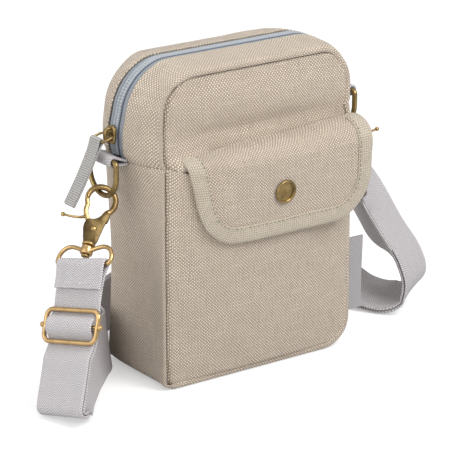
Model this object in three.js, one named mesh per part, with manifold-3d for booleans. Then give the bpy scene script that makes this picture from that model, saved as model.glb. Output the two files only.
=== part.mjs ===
// Crossbody tote in linen canvas: a boxy zipped body with a flap pocket, and a webbing strap on two clasps.
// Millimetres. The origin is under the middle of the body, on the surface it stands on.
// +X is to the right seen from the front, the front faces -Y and +Z is up.
import * as THREE from 'three';
import { mergeVertices } from 'three/addons/utils/BufferGeometryUtils.js';
import Module from 'manifold-3d';

const wasm = await Module();
wasm.setup();

// Driving sizes
const bodyWidth = 145;
const bodyHeight = 200;
const frontEdge = -31.5;
const cornerTop = 24;
const cornerLow = { left: 7, right: 20 };
const cloth = 1.4;
const gap = 0.3;
const seamHeight = { left: 146, right: 163 };
const zipEdge = { front: -6, coilFront: -1, coilBack: 5, back: 10 };
const flap = { middle: 6.5, half: 67.5, low: 95, corner: 29, fold: 143, top: 165, thick: 1.8, level: 12 };
const bindingWidth = 10;
const capPlace = { x: 5.5, z: 121 };
const capRadius = 7.7;
const labelSize = { out: 10.5, thick: 1.2, low: 23, high: 73 };
const strapWidth = 38;
const strapThick = 1.8;
const layerOffset = 1.1;
const tabWidth = 25;
const ringWire = 1.75;
const hookRadius = 9;
const hookWire = 1.85;
const loopWire = 1.4;
const barDrop = 43.1;
const rivetDrop = 20;
const buckle = { wide: 43, tall: 20, corner: 5, wire: 1.5, lift: 1.2, bar: 1.3 };
const buckleAt = 39.5;
const foldRadius = 3.2;
const foldTurn = 155;
const pullTip = { x: -121, y: 10, z: 119 };

// How far the middle of the gusset stands out from its seams, by height
const gussetSwell = [
  { z: 0, left: 0, right: 0 },
  { z: 12, left: 0.2, right: 0.2 },
  { z: 80, left: -0.6, right: 0 },
  { z: 115, left: 2, right: 2 },
  { z: 135, left: 7, right: 6 },
  { z: 150, left: 12, right: 11 },
  { z: 162, left: 13, right: 14 },
  { z: 175, left: 10.3, right: 11.5 },
  { z: 188, left: 7, right: 7.5 },
  { z: 197, left: 5, right: 5.2 },
  { z: 200, left: 4.7, right: 4.7 },
];

// Depth of the back seam by height
const backSeam = [
  { z: 0, y: 33 },
  { z: 40, y: 29 },
  { z: 80, y: 27 },
  { z: 120, y: 31 },
  { z: 155, y: 36.5 },
  { z: 200, y: 34 },
];

// How far the back seam's left edge leans in toward the middle, by height
const backLean = [
  { z: 0, x: 1.5 },
  { z: 120, x: 1.5 },
  { z: 150, x: 4.5 },
  { z: 165, x: 8 },
  { z: 180, x: 10 },
  { z: 200, x: 10.5 },
];
const leanFrom = 14;

// How far the pocket stands forward at its middle, by height
const pocketSwell = [
  { z: 0, out: 0.5 },
  { z: 6, out: 3 },
  { z: 60, out: 9 },
  { z: 110, out: 14 },
  { z: 148, out: 16.5 },
];

// Strap past its floor fold: the ribbon's middle, and the way from its near or lower edge to its other edge
const strapRun = [
  { x: -138.4, y: -25.9, z: 13.8, wx: -0.42, wy: 0.68, wz: 0.61 },
  { x: -120, y: -10, z: 18.1, wx: -0.38, wy: 0.36, wz: 0.85 },
  { x: -99, y: 5.8, z: 20.2, wx: -0.2, wy: 0.2, wz: 0.96 },
  { x: -83, y: 19, z: 20.6, wx: -0.08, wy: 0.08, wz: 0.99 },
  { x: -77, y: 40, z: 20.3, wx: 0, wy: 0, wz: 1 },
  { x: -64, y: 60, z: 20.3, wx: 0, wy: 0, wz: 1 },
  { x: -30, y: 83, z: 20.3, wx: 0, wy: 0, wz: 1 },
  { x: 20, y: 95, z: 20.3, wx: 0, wy: 0.05, wz: 1 },
  { x: 75, y: 80, z: 20.3, wx: 0.1, wy: 0.2, wz: 0.97 },
  { x: 112, y: 48, z: 17, wx: 0.45, wy: 0.5, wz: 0.75 },
  { x: 129, y: 19, z: 7.6, wx: 0.67, wy: 0.7, wz: 0.25 },
  { x: 139, y: 1.5, z: 7.2, wx: 0.79, wy: 0.58, wz: 0.22 },
  { x: 146, y: -6, z: 12, wx: 0.84, wy: 0.53, wz: 0.14 },
  { x: 149, y: -10, z: 22, wx: 0.87, wy: 0.49, wz: 0.04 },
  { x: 146, y: -7, z: 38, wx: 0.87, wy: 0.49, wz: 0 },
  { x: 138, y: 3, z: 58, wx: 0.85, wy: 0.52, wz: 0 },
  { x: 130, y: 12, z: 78, wx: 0.76, wy: 0.56, wz: 0.2 },
  { x: 122, y: 13, z: 91, wx: 0.66, wy: 0.66, wz: 0.32 },
];
const strapStart = { x: -120, y: -13.7, z: 88.5, wx: -0.22, wy: 0.97, wz: -0.04 };
const strapFold = { x: -153.7, y: -38.7, z: 10.3, wx: -0.24, wy: 0.95, wz: -0.12 };
const strapEnd = { x: 115.5, y: 10, z: 102.5, wx: 0.55, wy: 0.77, wz: 0.33 };

// Places of the two clasps and rings
const leftHook = new THREE.Vector3(-95, 2.5, 121);
const rightHook = new THREE.Vector3(93, 1, 137.5);
const leftFacing = new THREE.Vector3(-0.5, -0.85, 0.1);
const rightFacing = new THREE.Vector3(0.45, 0.88, 0.1);

// Colours
const linen = { color: 0xbeb09a, roughness: 0.95, metalness: 0 };
const paleLinen = { color: 0xc6baa5, roughness: 0.95, metalness: 0 };
const webbing = { color: 0xcfccce, roughness: 0.9, metalness: 0 };
const zipTape = { color: 0x96a0aa, roughness: 0.9, metalness: 0 };
const zipTooth = { color: 0x8a949e, roughness: 0.6, metalness: 0 };
const labelTape = { color: 0xb4b0ae, roughness: 0.9, metalness: 0 };
const brass = { color: 0xaa8246, roughness: 0.4, metalness: 1 };

const bag = new THREE.Group();
const v3 = (x, y, z) => new THREE.Vector3(x, y, z);

function add(name, geometry, look) {
  const mesh = new THREE.Mesh(geometry, new THREE.MeshStandardMaterial(look));
  mesh.name = name;
  bag.add(mesh);
  return mesh;
}

// Smooth value of a table's column between its rows
function tableAt(rows, key, column, at) {
  if (at <= rows[0][key]) return rows[0][column];
  const last = rows.length - 1;
  if (at >= rows[last][key]) return rows[last][column];
  let i = 0;
  while (at > rows[i + 1][key]) i += 1;
  const slope = (k) => {
    const a = rows[Math.max(k - 1, 0)];
    const b = rows[Math.min(k + 1, last)];
    return (b[column] - a[column]) / (b[key] - a[key]);
  };
  const span = rows[i + 1][key] - rows[i][key];
  const t = (at - rows[i][key]) / span;
  const p = rows[i][column];
  const q = rows[i + 1][column];
  const turn = t * t * (3 - 2 * t);
  const bend = t * (1 - t) * span * (slope(i) * (1 - t) - slope(i + 1) * t);
  return p + (q - p) * turn + bend;
}

// Volume inside a triangle mesh, negative where it faces in
function signedVolume(points, faces) {
  let sum = 0;
  for (const [a, b, c] of faces) sum += points[a].dot(points[b].clone().cross(points[c]));
  return sum / 6;
}

function solidFrom(points, faces) {
  const flip = signedVolume(points, faces) < 0;
  const index = faces.flatMap(([a, b, c]) => (flip ? [a, c, b] : [a, b, c]));
  const geometry = new THREE.BufferGeometry();
  geometry.setAttribute('position', new THREE.Float32BufferAttribute(points.flatMap((p) => p.toArray()), 3));
  geometry.setIndex(index);
  return geometry;
}

// Closed wall between an outer and an inner grid of points, each a list of rows
function wallSolid(outer, inner) {
  const rows = outer.length;
  const cols = outer[0].length;
  const points = [...outer.flat(), ...inner.flat()];
  const faces = [];
  const at = (side, r, c) => side * rows * cols + r * cols + c;
  const quad = (a, b, c, d) => faces.push([a, b, c], [a, c, d]);
  for (let r = 0; r + 1 < rows; r += 1) {
    for (let c = 0; c + 1 < cols; c += 1) {
      quad(at(0, r, c), at(0, r, c + 1), at(0, r + 1, c + 1), at(0, r + 1, c));
      quad(at(1, r, c), at(1, r + 1, c), at(1, r + 1, c + 1), at(1, r, c + 1));
    }
    quad(at(0, r, 0), at(0, r + 1, 0), at(1, r + 1, 0), at(1, r, 0));
    quad(at(0, r + 1, cols - 1), at(0, r, cols - 1), at(1, r, cols - 1), at(1, r + 1, cols - 1));
  }
  for (let c = 0; c + 1 < cols; c += 1) {
    quad(at(0, 0, c + 1), at(0, 0, c), at(1, 0, c), at(1, 0, c + 1));
    quad(at(0, rows - 1, c), at(0, rows - 1, c + 1), at(1, rows - 1, c + 1), at(1, rows - 1, c));
  }
  return solidFrom(points, faces);
}

// Bar of the given sections, each a ring of as many points; closed joins the last section to the first.
// A strip says at each section whether it runs back, so that faces that lie on each other split alike.
function sectionSolid(rings, closed, back) {
  const sides = rings[0].length;
  const points = rings.flat();
  const faces = [];
  const count = closed ? rings.length : rings.length - 1;
  for (let i = 0; i < count; i += 1) {
    const a = i * sides;
    const b = ((i + 1) % rings.length) * sides;
    for (let k = 0; k < sides; k += 1) {
      const m = (k + 1) % sides;
      const rising = back ? (k !== 2) !== back[i] : true;
      if (rising) faces.push([a + k, a + m, b + m], [a + k, b + m, b + k]);
      else faces.push([a + k, a + m, b + k], [a + m, b + m, b + k]);
    }
  }
  if (!closed) {
    const z = (rings.length - 1) * sides;
    for (let k = 1; k + 1 < sides; k += 1) faces.push([0, k + 1, k], [z, z + k, z + k + 1]);
  }
  return solidFrom(points, faces);
}

const steps = (from, to, count) => (
  Array.from({ length: count + 1 }, (_, i) => from + ((to - from) * i) / count)
);
const radians = (degrees) => (degrees * Math.PI) / 180;

function arc(cx, cy, r, from, to, count) {
  return steps(radians(from), radians(to), count).map((a) => [cx + r * Math.cos(a), cy + r * Math.sin(a)]);
}

// Round wire along a path in the XY plane
function wire(path, radius, closed, sides = 8) {
  const n = path.length;
  const rings = path.map(([x, y], i) => {
    const a = path[closed ? (i + n - 1) % n : Math.max(i - 1, 0)];
    const b = path[closed ? (i + 1) % n : Math.min(i + 1, n - 1)];
    const side = v3(a[1] - b[1], b[0] - a[0], 0).normalize();
    return steps(0, 2 * Math.PI, sides).slice(0, sides).map((t) => (
      v3(x, y, 0).addScaledVector(side, radius * Math.cos(t)).add(v3(0, 0, radius * Math.sin(t)))
    ));
  });
  return sectionSolid(rings, closed);
}

// Flat plate of an outline in the XY plane, centred on it
function plate(outline, thick) {
  const shape = new THREE.Shape(outline.map(([x, y]) => new THREE.Vector2(x, y)));
  const geometry = new THREE.ExtrudeGeometry(shape, { depth: thick, bevelEnabled: false });
  return geometry.translate(0, 0, -thick / 2);
}

// Outline of a strip of even width about a path in the XY plane
function stripOutline(path, half) {
  const sideOf = (i, k) => {
    const a = path[Math.max(i - 1, 0)];
    const b = path[Math.min(i + 1, path.length - 1)];
    const long = Math.hypot(b[0] - a[0], b[1] - a[1]);
    return [path[i][0] - (k * half * (b[1] - a[1])) / long, path[i][1] + (k * half * (b[0] - a[0])) / long];
  };
  const one = path.map((_, i) => sideOf(i, 1));
  const other = path.map((_, i) => sideOf(i, -1));
  return [...one, ...other.reverse()];
}

const pinZ = (radius, long, x, y) => (
  new THREE.CylinderGeometry(radius, radius, long, 12).rotateX(Math.PI / 2).translate(x, y, 0)
);

function toManifold(geometry) {
  const bare = geometry.clone();
  bare.deleteAttribute('normal');
  bare.deleteAttribute('uv');
  const merged = mergeVertices(bare, 1e-4);
  return new wasm.Manifold(new wasm.Mesh({
    numProp: 3,
    vertProperties: new Float32Array(merged.attributes.position.array),
    triVerts: new Uint32Array(merged.index.array),
  }));
}

function fromManifold(manifold) {
  const mesh = manifold.getMesh();
  const geometry = new THREE.BufferGeometry();
  geometry.setAttribute('position', new THREE.Float32BufferAttribute(mesh.vertProperties, 3));
  geometry.setIndex([...mesh.triVerts]);
  return geometry;
}

const joined = (list) => list.map(toManifold).reduce((a, b) => a.add(b));

// Matrix whose Y axis is up and whose Z axis leans as near as it can to the facing
function frameAt(origin, up, facing) {
  const y = up.clone().normalize();
  const x = y.clone().cross(facing).normalize();
  const z = x.clone().cross(y);
  return new THREE.Matrix4().makeBasis(x, y, z).setPosition(origin);
}

// Front outline of the body as lines and arcs, running up the left side and round clockwise
const half = bodyWidth / 2;
const lineRun = (x0, z0, x1, z1) => {
  const long = Math.hypot(x1 - x0, z1 - z0);
  const tx = (x1 - x0) / long;
  const tz = (z1 - z0) / long;
  const at = (d) => ({ x: x0 + tx * d, z: z0 + tz * d, nx: -tz, nz: tx });
  return { long, cuts: Math.ceil(long / 17), at };
};
const arcRun = (cx, cz, r, from) => ({
  long: (r * Math.PI) / 2,
  cuts: 5,
  at: (d) => {
    const a = radians(from) - d / r;
    return { x: cx + r * Math.cos(a), z: cz + r * Math.sin(a), nx: Math.cos(a), nz: Math.sin(a) };
  },
});
const high = bodyHeight - cornerTop;
const outlineRuns = [
  lineRun(-half, cornerLow.left, -half, high),
  arcRun(-half + cornerTop, high, cornerTop, 180),
  lineRun(-half + cornerTop, bodyHeight, half - cornerTop, bodyHeight),
  arcRun(half - cornerTop, high, cornerTop, 90),
  lineRun(half, high, half, cornerLow.right),
  arcRun(half - cornerLow.right, cornerLow.right, cornerLow.right, 0),
  lineRun(half - cornerLow.right, 0, -half + cornerLow.left, 0),
  arcRun(-half + cornerLow.left, cornerLow.left, cornerLow.left, -90),
];
const outlineLong = outlineRuns.reduce((sum, run) => sum + run.long, 0);

function outlineAt(s) {
  let d = ((s % outlineLong) + outlineLong) % outlineLong;
  let i = 0;
  while (i + 1 < outlineRuns.length && d > outlineRuns[i].long) {
    d -= outlineRuns[i].long;
    i += 1;
  }
  return outlineRuns[i].at(d);
}

// Places along the outline between two distances, close together round the corners
function outlineStations(from, to) {
  const list = [from];
  let start = 0;
  for (const run of [...outlineRuns, ...outlineRuns]) {
    for (const d of steps(0, run.long, run.cuts)) {
      const s = start + d;
      if (s > list[list.length - 1] + 2 && s < to - 2) list.push(s);
    }
    start += run.long;
  }
  list.push(to);
  return list;
}

const leftSeam = seamHeight.left - cornerLow.left;
const rightSeam = outlineRuns.slice(0, 4).reduce((sum, run) => sum + run.long, 0) + high - seamHeight.right;
const backEdge = (z) => tableAt(backSeam, 'z', 'y', z);

// The top stands a little higher toward the back
const topLift = (y, z) => (3.7 - 1.7 * ((y - frontEdge) / 66)) * Math.max(0, (z - 120) / 80) ** 2;

// The lean grows with the square of the depth behind the zip, and fades toward the middle of the width
function leanAt(x, y, z) {
  const back = Math.min(1, Math.max(0, (y - leanFrom) / (backEdge(z) - leanFrom)));
  const left = Math.min(1, Math.max(0, -x / half));
  return tableAt(backLean, 'z', 'x', z) * left * back * back;
}

// Point of the gusset: distance along the outline, depth, and height off its outer face
function gussetPoint(s, y, off) {
  const p = outlineAt(s);
  const swell = tableAt(gussetSwell, 'z', p.x < 0 ? 'left' : 'right', p.z);
  const middle = (frontEdge + backEdge(p.z)) / 2;
  const across = (y - middle) / (backEdge(p.z) - middle);
  const out = swell * Math.max(0, 1 - across * across) ** 0.85 + off;
  return v3(p.x + p.nx * out + leanAt(p.x, y, p.z), y, p.z + p.nz * out + topLift(y, p.z));
}

// Strip of gusset between two depths, given as functions of height
function gussetStrip(from, to, frontAt, backAt, cuts, top, thick) {
  const stations = outlineStations(from, to);
  const side = (off) => stations.map((s) => {
    const z = outlineAt(s).z;
    return steps(frontAt(z), backAt(z), cuts).map((y) => gussetPoint(s, y, off));
  });
  return wallSolid(side(top), side(top - thick));
}

const seamFront = () => frontEdge;
const seamBack = (z) => backEdge(z);
add('side_gusset', gussetStrip(rightSeam + gap / 2, outlineLong + leftSeam - gap / 2,
  seamFront, seamBack, 5, 0, cloth), linen);
const zipFrom = leftSeam + gap / 2;
const zipTo = rightSeam - gap / 2;
const zipStrip = (front, back, cuts, top, thick) => (
  gussetStrip(zipFrom, zipTo, front, back, cuts, top, thick)
);
add('zip_gusset_front', zipStrip(seamFront, () => zipEdge.front - gap / 2, 3, 0, cloth), linen);
add('zip_gusset_back', zipStrip(() => zipEdge.back + gap / 2, seamBack, 3, 0, cloth), linen);
add('zip_tape_front', zipStrip(() => zipEdge.front + gap / 2, () => zipEdge.coilFront - gap / 2,
  2, -0.6, 1), zipTape);
add('zip_tape_back', zipStrip(() => zipEdge.coilBack + gap / 2, () => zipEdge.back - gap / 2,
  2, -0.6, 1), zipTape);
add('zip_coil', gussetStrip(zipFrom + 3, zipTo - 3, () => zipEdge.coilFront + gap / 2,
  () => zipEdge.coilBack - gap / 2, 2, 0.4, 2), zipTooth);

// Left and right limits of the body's outline at a height
function sideAt(z, corner, x) {
  const low = Math.max(0, corner - z);
  const up = Math.max(0, z - high);
  const cut = low > 0 ? corner - Math.sqrt(corner * corner - low * low) : 0;
  const cutUp = up > 0 ? cornerTop - Math.sqrt(Math.max(0, cornerTop * cornerTop - up * up)) : 0;
  return x * (half - cut - cutUp);
}
const leftAt = (z) => sideAt(z, cornerLow.left, -1);
const rightAt = (z) => sideAt(z, cornerLow.right, 1);

// Sheet over rows of heights, with a face placed by a function of x and height
function panel(rows, cols, left, right, place) {
  const side = (face) => rows.map((z) => steps(left(z), right(z), cols).map((x) => place(x, z, face)));
  return wallSolid(side(0), side(1));
}

const bodyRows = [0, 1.2, 4, 10, 20, 40, 60, 80, 100, 120, 140, 152, 160, 168, 176, 184, 191, 196.5, 200];

// Front panel: flat under the pocket, a dent over the flap's seam and a soft crown above it
const frontFace = frontEdge - gap - cloth;
function frontY(x, z) {
  const across = Math.max(0, 1 - (x / half) ** 2);
  const crown = z > 160 ? Math.sin((Math.PI * (z - 160)) / 40) ** 2 : 0;
  const dent = Math.exp(-(((z - 163) / 6) ** 2));
  return frontFace - across * (3 * crown - 1.2 * dent);
}
const frontRows = bodyRows.filter((z) => z <= 20 || z === 80 || z >= 140);
add('front_panel', panel(frontRows, 10, leftAt, rightAt,
  (x, z, face) => v3(x, frontY(x, z) + face * cloth, z + topLift(frontEdge, z))), linen);

function backY(x, z) {
  const across = Math.max(0, 1 - (x / half) ** 2);
  return backEdge(z) + gap + cloth + 4 * across * Math.sin((Math.PI * z) / bodyHeight) ** 2;
}
const backX = (x, z) => x + leanAt(x, backEdge(z), z);
add('back_panel', panel(bodyRows, 6, leftAt, rightAt,
  (x, z, face) => v3(backX(x, z), backY(x, z) - face * cloth, z + topLift(backEdge(z), z))), linen);

// Pocket panel: sewn in at the sides and the bottom, standing forward to its mouth
const pocketFace = frontFace - gap - cloth;
const mouthDip = (x, z) => 7 * (z / 148) ** 4 * (1 - Math.min(1, Math.abs(x) / half) ** 6);
function pocketY(x, z) {
  const edge = x < 0 ? leftAt(z) : rightAt(z);
  const across = Math.max(0, 1 - Math.abs(x / edge) ** 2.2);
  return pocketFace - tableAt(pocketSwell, 'z', 'out', z) * across ** 0.9;
}
const pocketRows = [0, 1.2, 4, 10, 20, 36, 54, 72, 90, 108, 124, 137, 148];
add('pocket_panel', panel(pocketRows, 14, leftAt, rightAt,
  (x, z, face) => v3(x, pocketY(x, z) + face * cloth, z - mouthDip(x, z))), linen);

// Flap: height h is true below the fold and runs back over the shelf to the seam above it
const flapSeam = (x) => 154.5 + (3.5 * (x - flap.middle)) / flap.half;
function flapBase(x, h) {
  const from = Math.min(x, flap.level);
  const hang = (z) => pocketY(from, z) - gap - flap.thick - 0.9 - 0.6 * ((flap.fold - z) / 48);
  if (h <= flap.fold) return v3(x, hang(h), h);
  const t = (h - flap.fold) / (flap.top - flap.fold);
  const edge = hang(flap.fold);
  const seam = flapSeam(x);
  const y = edge + (frontFace - gap - edge) * t * t;
  const z = flap.fold + (seam - flap.fold) * (2 * t - t * t);
  return v3(x, y, z);
}
function flapPoint(x, h, off) {
  const px = flapBase(x + 0.5, h).sub(flapBase(x - 0.5, h));
  const ph = flapBase(x, Math.min(h + 0.5, flap.top)).sub(flapBase(x, h - 0.5));
  const normal = px.cross(ph).normalize();
  if (h >= flap.top) normal.set(0, 0, 1);
  return flapBase(x, h).addScaledVector(normal, off);
}
function flapEdge(h, inset) {
  const r = flap.corner - inset;
  const low = Math.max(0, flap.low + flap.corner - h);
  const cut = low > 0 ? r - Math.sqrt(Math.max(0, r * r - low * low)) : 0;
  return flap.half - inset - cut;
}
const flapRows = [95, 96, 98.5, 103, 110, 124, 143, 147, 151, 155, 160, 165];
const flapLeft = (h) => flap.middle - flapEdge(h, 0);
const flapRight = (h) => flap.middle + flapEdge(h, 0);
add('pocket_flap', panel(flapRows, 14, flapLeft, flapRight,
  (x, h, face) => flapPoint(x, h, face * -flap.thick)), linen);

// Binding along the flap's free edge: down one side, round the corners and up the other
const bindTop = 162;
const cornerHeight = flap.low + flap.corner;
const reach = flap.half - flap.corner;
function bindingPath(inset) {
  const r = flap.corner - inset;
  const sideRow = steps(bindTop, cornerHeight, 7).map((h) => [flap.half - inset, h]);
  const cornerRow = arc(reach, cornerHeight, r, 0, -90, 6).slice(1);
  const right = [...sideRow, ...cornerRow];
  const bottom = steps(reach, -reach, 6).slice(1, 6).map((x) => [x, flap.low + inset]);
  const left = right.map(([x, h]) => [-x, h]).reverse();
  return [...right, ...bottom, ...left];
}
const bindingSide = (off) => steps(0, bindingWidth, 2).map((inset) => (
  bindingPath(inset).map(([x, h]) => flapPoint(flap.middle + x, h, off))
));
add('flap_binding', wallSolid(bindingSide(gap + 1), bindingSide(gap + 0.1)), paleLinen);

// Snap cap on the flap: a shallow dish with a raised rim
const capProfile = [[0, 0], [capRadius, 0], [capRadius + 0.2, 0.9], [capRadius - 0.6, 1.8],
  [capRadius - 1.5, 1.8], [capRadius - 2.1, 1.25], [0, 1.5]].map(([r, y]) => new THREE.Vector2(r, y));
const capMesh = add('snap_cap', new THREE.LatheGeometry(capProfile, 24), brass);
const capBase = flapPoint(capPlace.x, capPlace.z, gap + 0.15);
const capOut = flapPoint(capPlace.x, capPlace.z, 5).sub(flapPoint(capPlace.x, capPlace.z, 0)).normalize();
capMesh.applyMatrix4(frameAt(capBase, capOut, v3(0, 0, 1)));

// Label folded into the right front seam
const label = add('side_label', new THREE.BoxGeometry(labelSize.out - gap, labelSize.thick,
  labelSize.high - labelSize.low), labelTape);
label.position.set(half + (labelSize.out + gap) / 2, frontFace - 0.2, (labelSize.low + labelSize.high) / 2);

// Strap ribbon: its middle line and its width direction, along the whole loop
const rowPoint = (row) => v3(row.x, row.y, row.z);
const rowWidth = (row) => v3(row.wx, row.wy, row.wz).normalize();
const leftBar = leftHook.clone().add(rowPoint(strapStart).sub(leftHook).setLength(barDrop));
const rightBar = rightHook.clone().add(rowPoint(strapEnd).sub(rightHook).setLength(barDrop));
const squareTo = (w, t) => w.clone().addScaledVector(t, -w.dot(t)).normalize();

function ribbonSamples() {
  const list = [];
  const fold = rowPoint(strapFold);
  const leave = leftBar.clone().sub(leftHook).setLength(8).add(leftBar);
  const down = fold.clone().sub(leave).normalize();
  const axis = squareTo(rowWidth(strapFold), down);
  const drop = new THREE.CubicBezierCurve3(leftBar, leave, fold.clone().addScaledVector(down, -30), fold);
  for (const k of steps(0, 1, 80)) {
    list.push({ p: drop.getPoint(k), w: rowWidth(strapStart).lerp(axis, k).normalize() });
  }
  foldAt = drop.getLength();
  const face = axis.clone().cross(down);
  const centre = fold.clone().addScaledVector(face, -foldRadius);
  for (const a of steps(0, radians(foldTurn), 30).slice(1)) {
    const p = centre.clone().addScaledVector(face, foldRadius * Math.cos(a));
    list.push({ p: p.addScaledVector(down, foldRadius * Math.sin(a)), w: axis.clone() });
  }
  const last = list[list.length - 1];
  const arrive = rightBar.clone().sub(rightHook).setLength(8).add(rightBar);
  const middle = new THREE.CatmullRomCurve3([last.p, ...strapRun.map(rowPoint), arrive, rightBar], false,
    'centripetal');
  const endWidth = rowWidth(strapEnd);
  const widths = new THREE.CatmullRomCurve3([last.w, ...strapRun.map(rowWidth), endWidth, endWidth], false,
    'catmullrom', 0.5);
  for (const k of steps(0, 1, 400).slice(1)) {
    list.push({ p: middle.getPoint(k), w: widths.getPoint(k).normalize() });
  }
  list[0].s = 0;
  for (let i = 1; i < list.length; i += 1) list[i].s = list[i - 1].s + list[i].p.distanceTo(list[i - 1].p);
  return list;
}
let foldAt = 0;
const ribbon = ribbonSamples();
const ribbonLong = ribbon[ribbon.length - 1].s;

function ribbonSpot(s) {
  const inside = Math.min(Math.max(s, 0), ribbonLong);
  let i = 1;
  while (i + 1 < ribbon.length && ribbon[i].s < inside) i += 1;
  const a = ribbon[i - 1];
  const b = ribbon[i];
  const k = (s - a.s) / (b.s - a.s);
  return { p: a.p.clone().lerp(b.p, k), w: a.w.clone().lerp(b.w, Math.min(Math.max(k, 0), 1)) };
}

// Frame of the ribbon at a distance: middle, tangent, width direction and outward face;
// just past the floor fold the width may lie slantwise to the tangent
function ribbonFrame(s) {
  const spot = ribbonSpot(s);
  const a = Math.min(Math.max(s - 0.7, 0), ribbonLong - 1.4);
  const t = ribbonSpot(a + 1.4).p.sub(ribbonSpot(a).p).normalize();
  const past = s - foldAt - foldRadius * radians(foldTurn);
  const slant = Math.min(Math.max(past / 4 + 1.2, 0), 1) * Math.min(Math.max((130 - past) / 40, 0), 1);
  const w = squareTo(spot.w, t).lerp(spot.w, slant);
  return { p: spot.p, t, w, n: w.clone().cross(t).normalize() };
}

// Flat strip through a list of points, each with its width direction
function stripSolid(route, width, thick) {
  const rings = route.map(({ p, w }, i) => {
    const a = route[Math.max(i - 1, 0)].p;
    const b = route[Math.min(i + 1, route.length - 1)].p;
    const n = w.clone().cross(b.clone().sub(a)).normalize();
    const corner = (u, k) => (
      p.clone().addScaledVector(w, (u * width) / 2).addScaledVector(n, (k * thick) / 2)
    );
    return [corner(-1, -1), corner(1, -1), corner(1, 1), corner(-1, 1)];
  });
  return sectionSolid(rings, false, route.map((spot) => Boolean(spot.back)));
}

// Places along the ribbon between two distances, close together at the floor fold
function ribbonStations(from, to) {
  const turn = foldRadius * radians(foldTurn);
  const list = [...steps(from, foldAt - 1, 3), ...steps(foldAt, foldAt + turn, 7),
    ...steps(foldAt + turn + 6, to, 46)];
  return list;
}

// The webbing in distance and height over the ribbon: from its sewn end round the left bar, through the
// buckle, along the outer layer, round the right bar and back along the inner layer to the buckle
const wrap = loopWire + 0.35 + strapThick / 2;
const behind = buckle.lift - buckle.wire - 0.5 - strapThick / 2;
const over = buckle.lift + buckle.bar + 0.5 + strapThick / 2;
const roundBar = (at, from, to) => arc(0, 0, wrap, from, to, 6).map(([x, y]) => [at + x, y]);
const outerRun = ribbonStations(buckleAt + 20, ribbonLong - 9).map((s) => [s, layerOffset]);
const innerRun = outerRun.map(([s]) => [s, -layerOffset, true]).reverse();
const webbingRoute = [
  [16, layerOffset], [9, layerOffset + 0.1],
  ...roundBar(0, 75, 285),
  [9, -layerOffset - 0.1], [18, -layerOffset], [buckleAt - 14, behind + 0.2], [buckleAt - 10, behind],
  [buckleAt - 7.5, behind + 0.9], [buckleAt - 3, over - 0.5], [buckleAt, over], [buckleAt + 3, over - 0.5],
  [buckleAt + 7.5, behind + 0.9], [buckleAt + 10, behind], [buckleAt + 14, behind + 1],
  ...outerRun,
  ...roundBar(ribbonLong, 105, -105),
  ...innerRun,
  [buckleAt + 14, behind - 1.3, true], [buckleAt + 10, behind - 2.2, true],
  [buckleAt + 5, behind - 2.0, true], [buckleAt + 1, behind - 1.6, true],
];
const strapRoute = webbingRoute.map(([s, off, back]) => {
  const f = ribbonFrame(s);
  return { p: f.p.addScaledVector(f.n, off), w: f.w, back };
});
add('shoulder_strap', stripSolid(strapRoute, strapWidth, strapThick), webbing);

// Strap buckle: a wire frame with a middle bar that ends in nubs outside it
function roundedFrame(wide, tall, r, cuts) {
  const x = wide / 2 - r;
  const y = tall / 2 - r;
  return [...arc(x, y, r, 90, 0, cuts), ...arc(x, -y, r, 0, -90, cuts),
    ...arc(-x, -y, r, -90, -180, cuts), ...arc(-x, y, r, 180, 90, cuts)];
}
const barLong = buckle.wide + 2 * buckle.wire + 1.4;
const buckleBar = new THREE.CylinderGeometry(buckle.bar, buckle.bar, barLong, 8).rotateZ(Math.PI / 2);
const nub = (k) => new THREE.SphereGeometry(buckle.wire + 0.3, 8, 6).translate((k * barLong) / 2, 0, 0);
const buckleBody = joined([wire(roundedFrame(buckle.wide, buckle.tall, buckle.corner, 4), buckle.wire, true),
  buckleBar, nub(-1), nub(1)]);
const buckleMesh = add('strap_buckle', fromManifold(buckleBody), brass);
const atBuckle = ribbonFrame(buckleAt);
buckleMesh.applyMatrix4(frameAt(atBuckle.p.clone().addScaledVector(atBuckle.n, buckle.lift),
  atBuckle.t.clone().negate(), atBuckle.n));

// Clasp in its own plane: hook middle at the origin, strap bar below it
const hookPath = arc(0, 0, hookRadius, -58, 182, 15);
const bodyOutline = [[-3.6, -29.3], [3.6, -29.3], [5.2, -22], [6.2, -15.5], [7.6, -9.5], [5.6, -6.2],
  [3.4, -8], [1.2, -11.5], [-1.5, -13.6], [-5.8, -15], [-6.2, -19], [-5, -24]];
const stemProfile = [[0, -38.7], [2.7, -38.7], [2.7, -37.5], [1.6, -37.5], [1.6, -30.9], [4.2, -30.9],
  [4.2, -29], [0, -29]].map(([r, y]) => new THREE.Vector2(r, y));
function hookBody() {
  const cheeks = toManifold(plate(bodyOutline, 5.2));
  const slot = new THREE.BoxGeometry(13, 17.5, 2.7).translate(-3.2, -14.75, 0);
  const pieces = [wire(hookPath, hookWire, false), pinZ(1.3, 6, 0, -rivetDrop),
    new THREE.LatheGeometry(stemProfile, 12)];
  const head = (k) => pinZ(1.9, 0.9, 0, -rivetDrop).translate(0, 0, k * 2.95);
  return fromManifold(cheeks.subtract(toManifold(slot)).add(joined([...pieces, head(1), head(-1)])));
}

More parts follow.
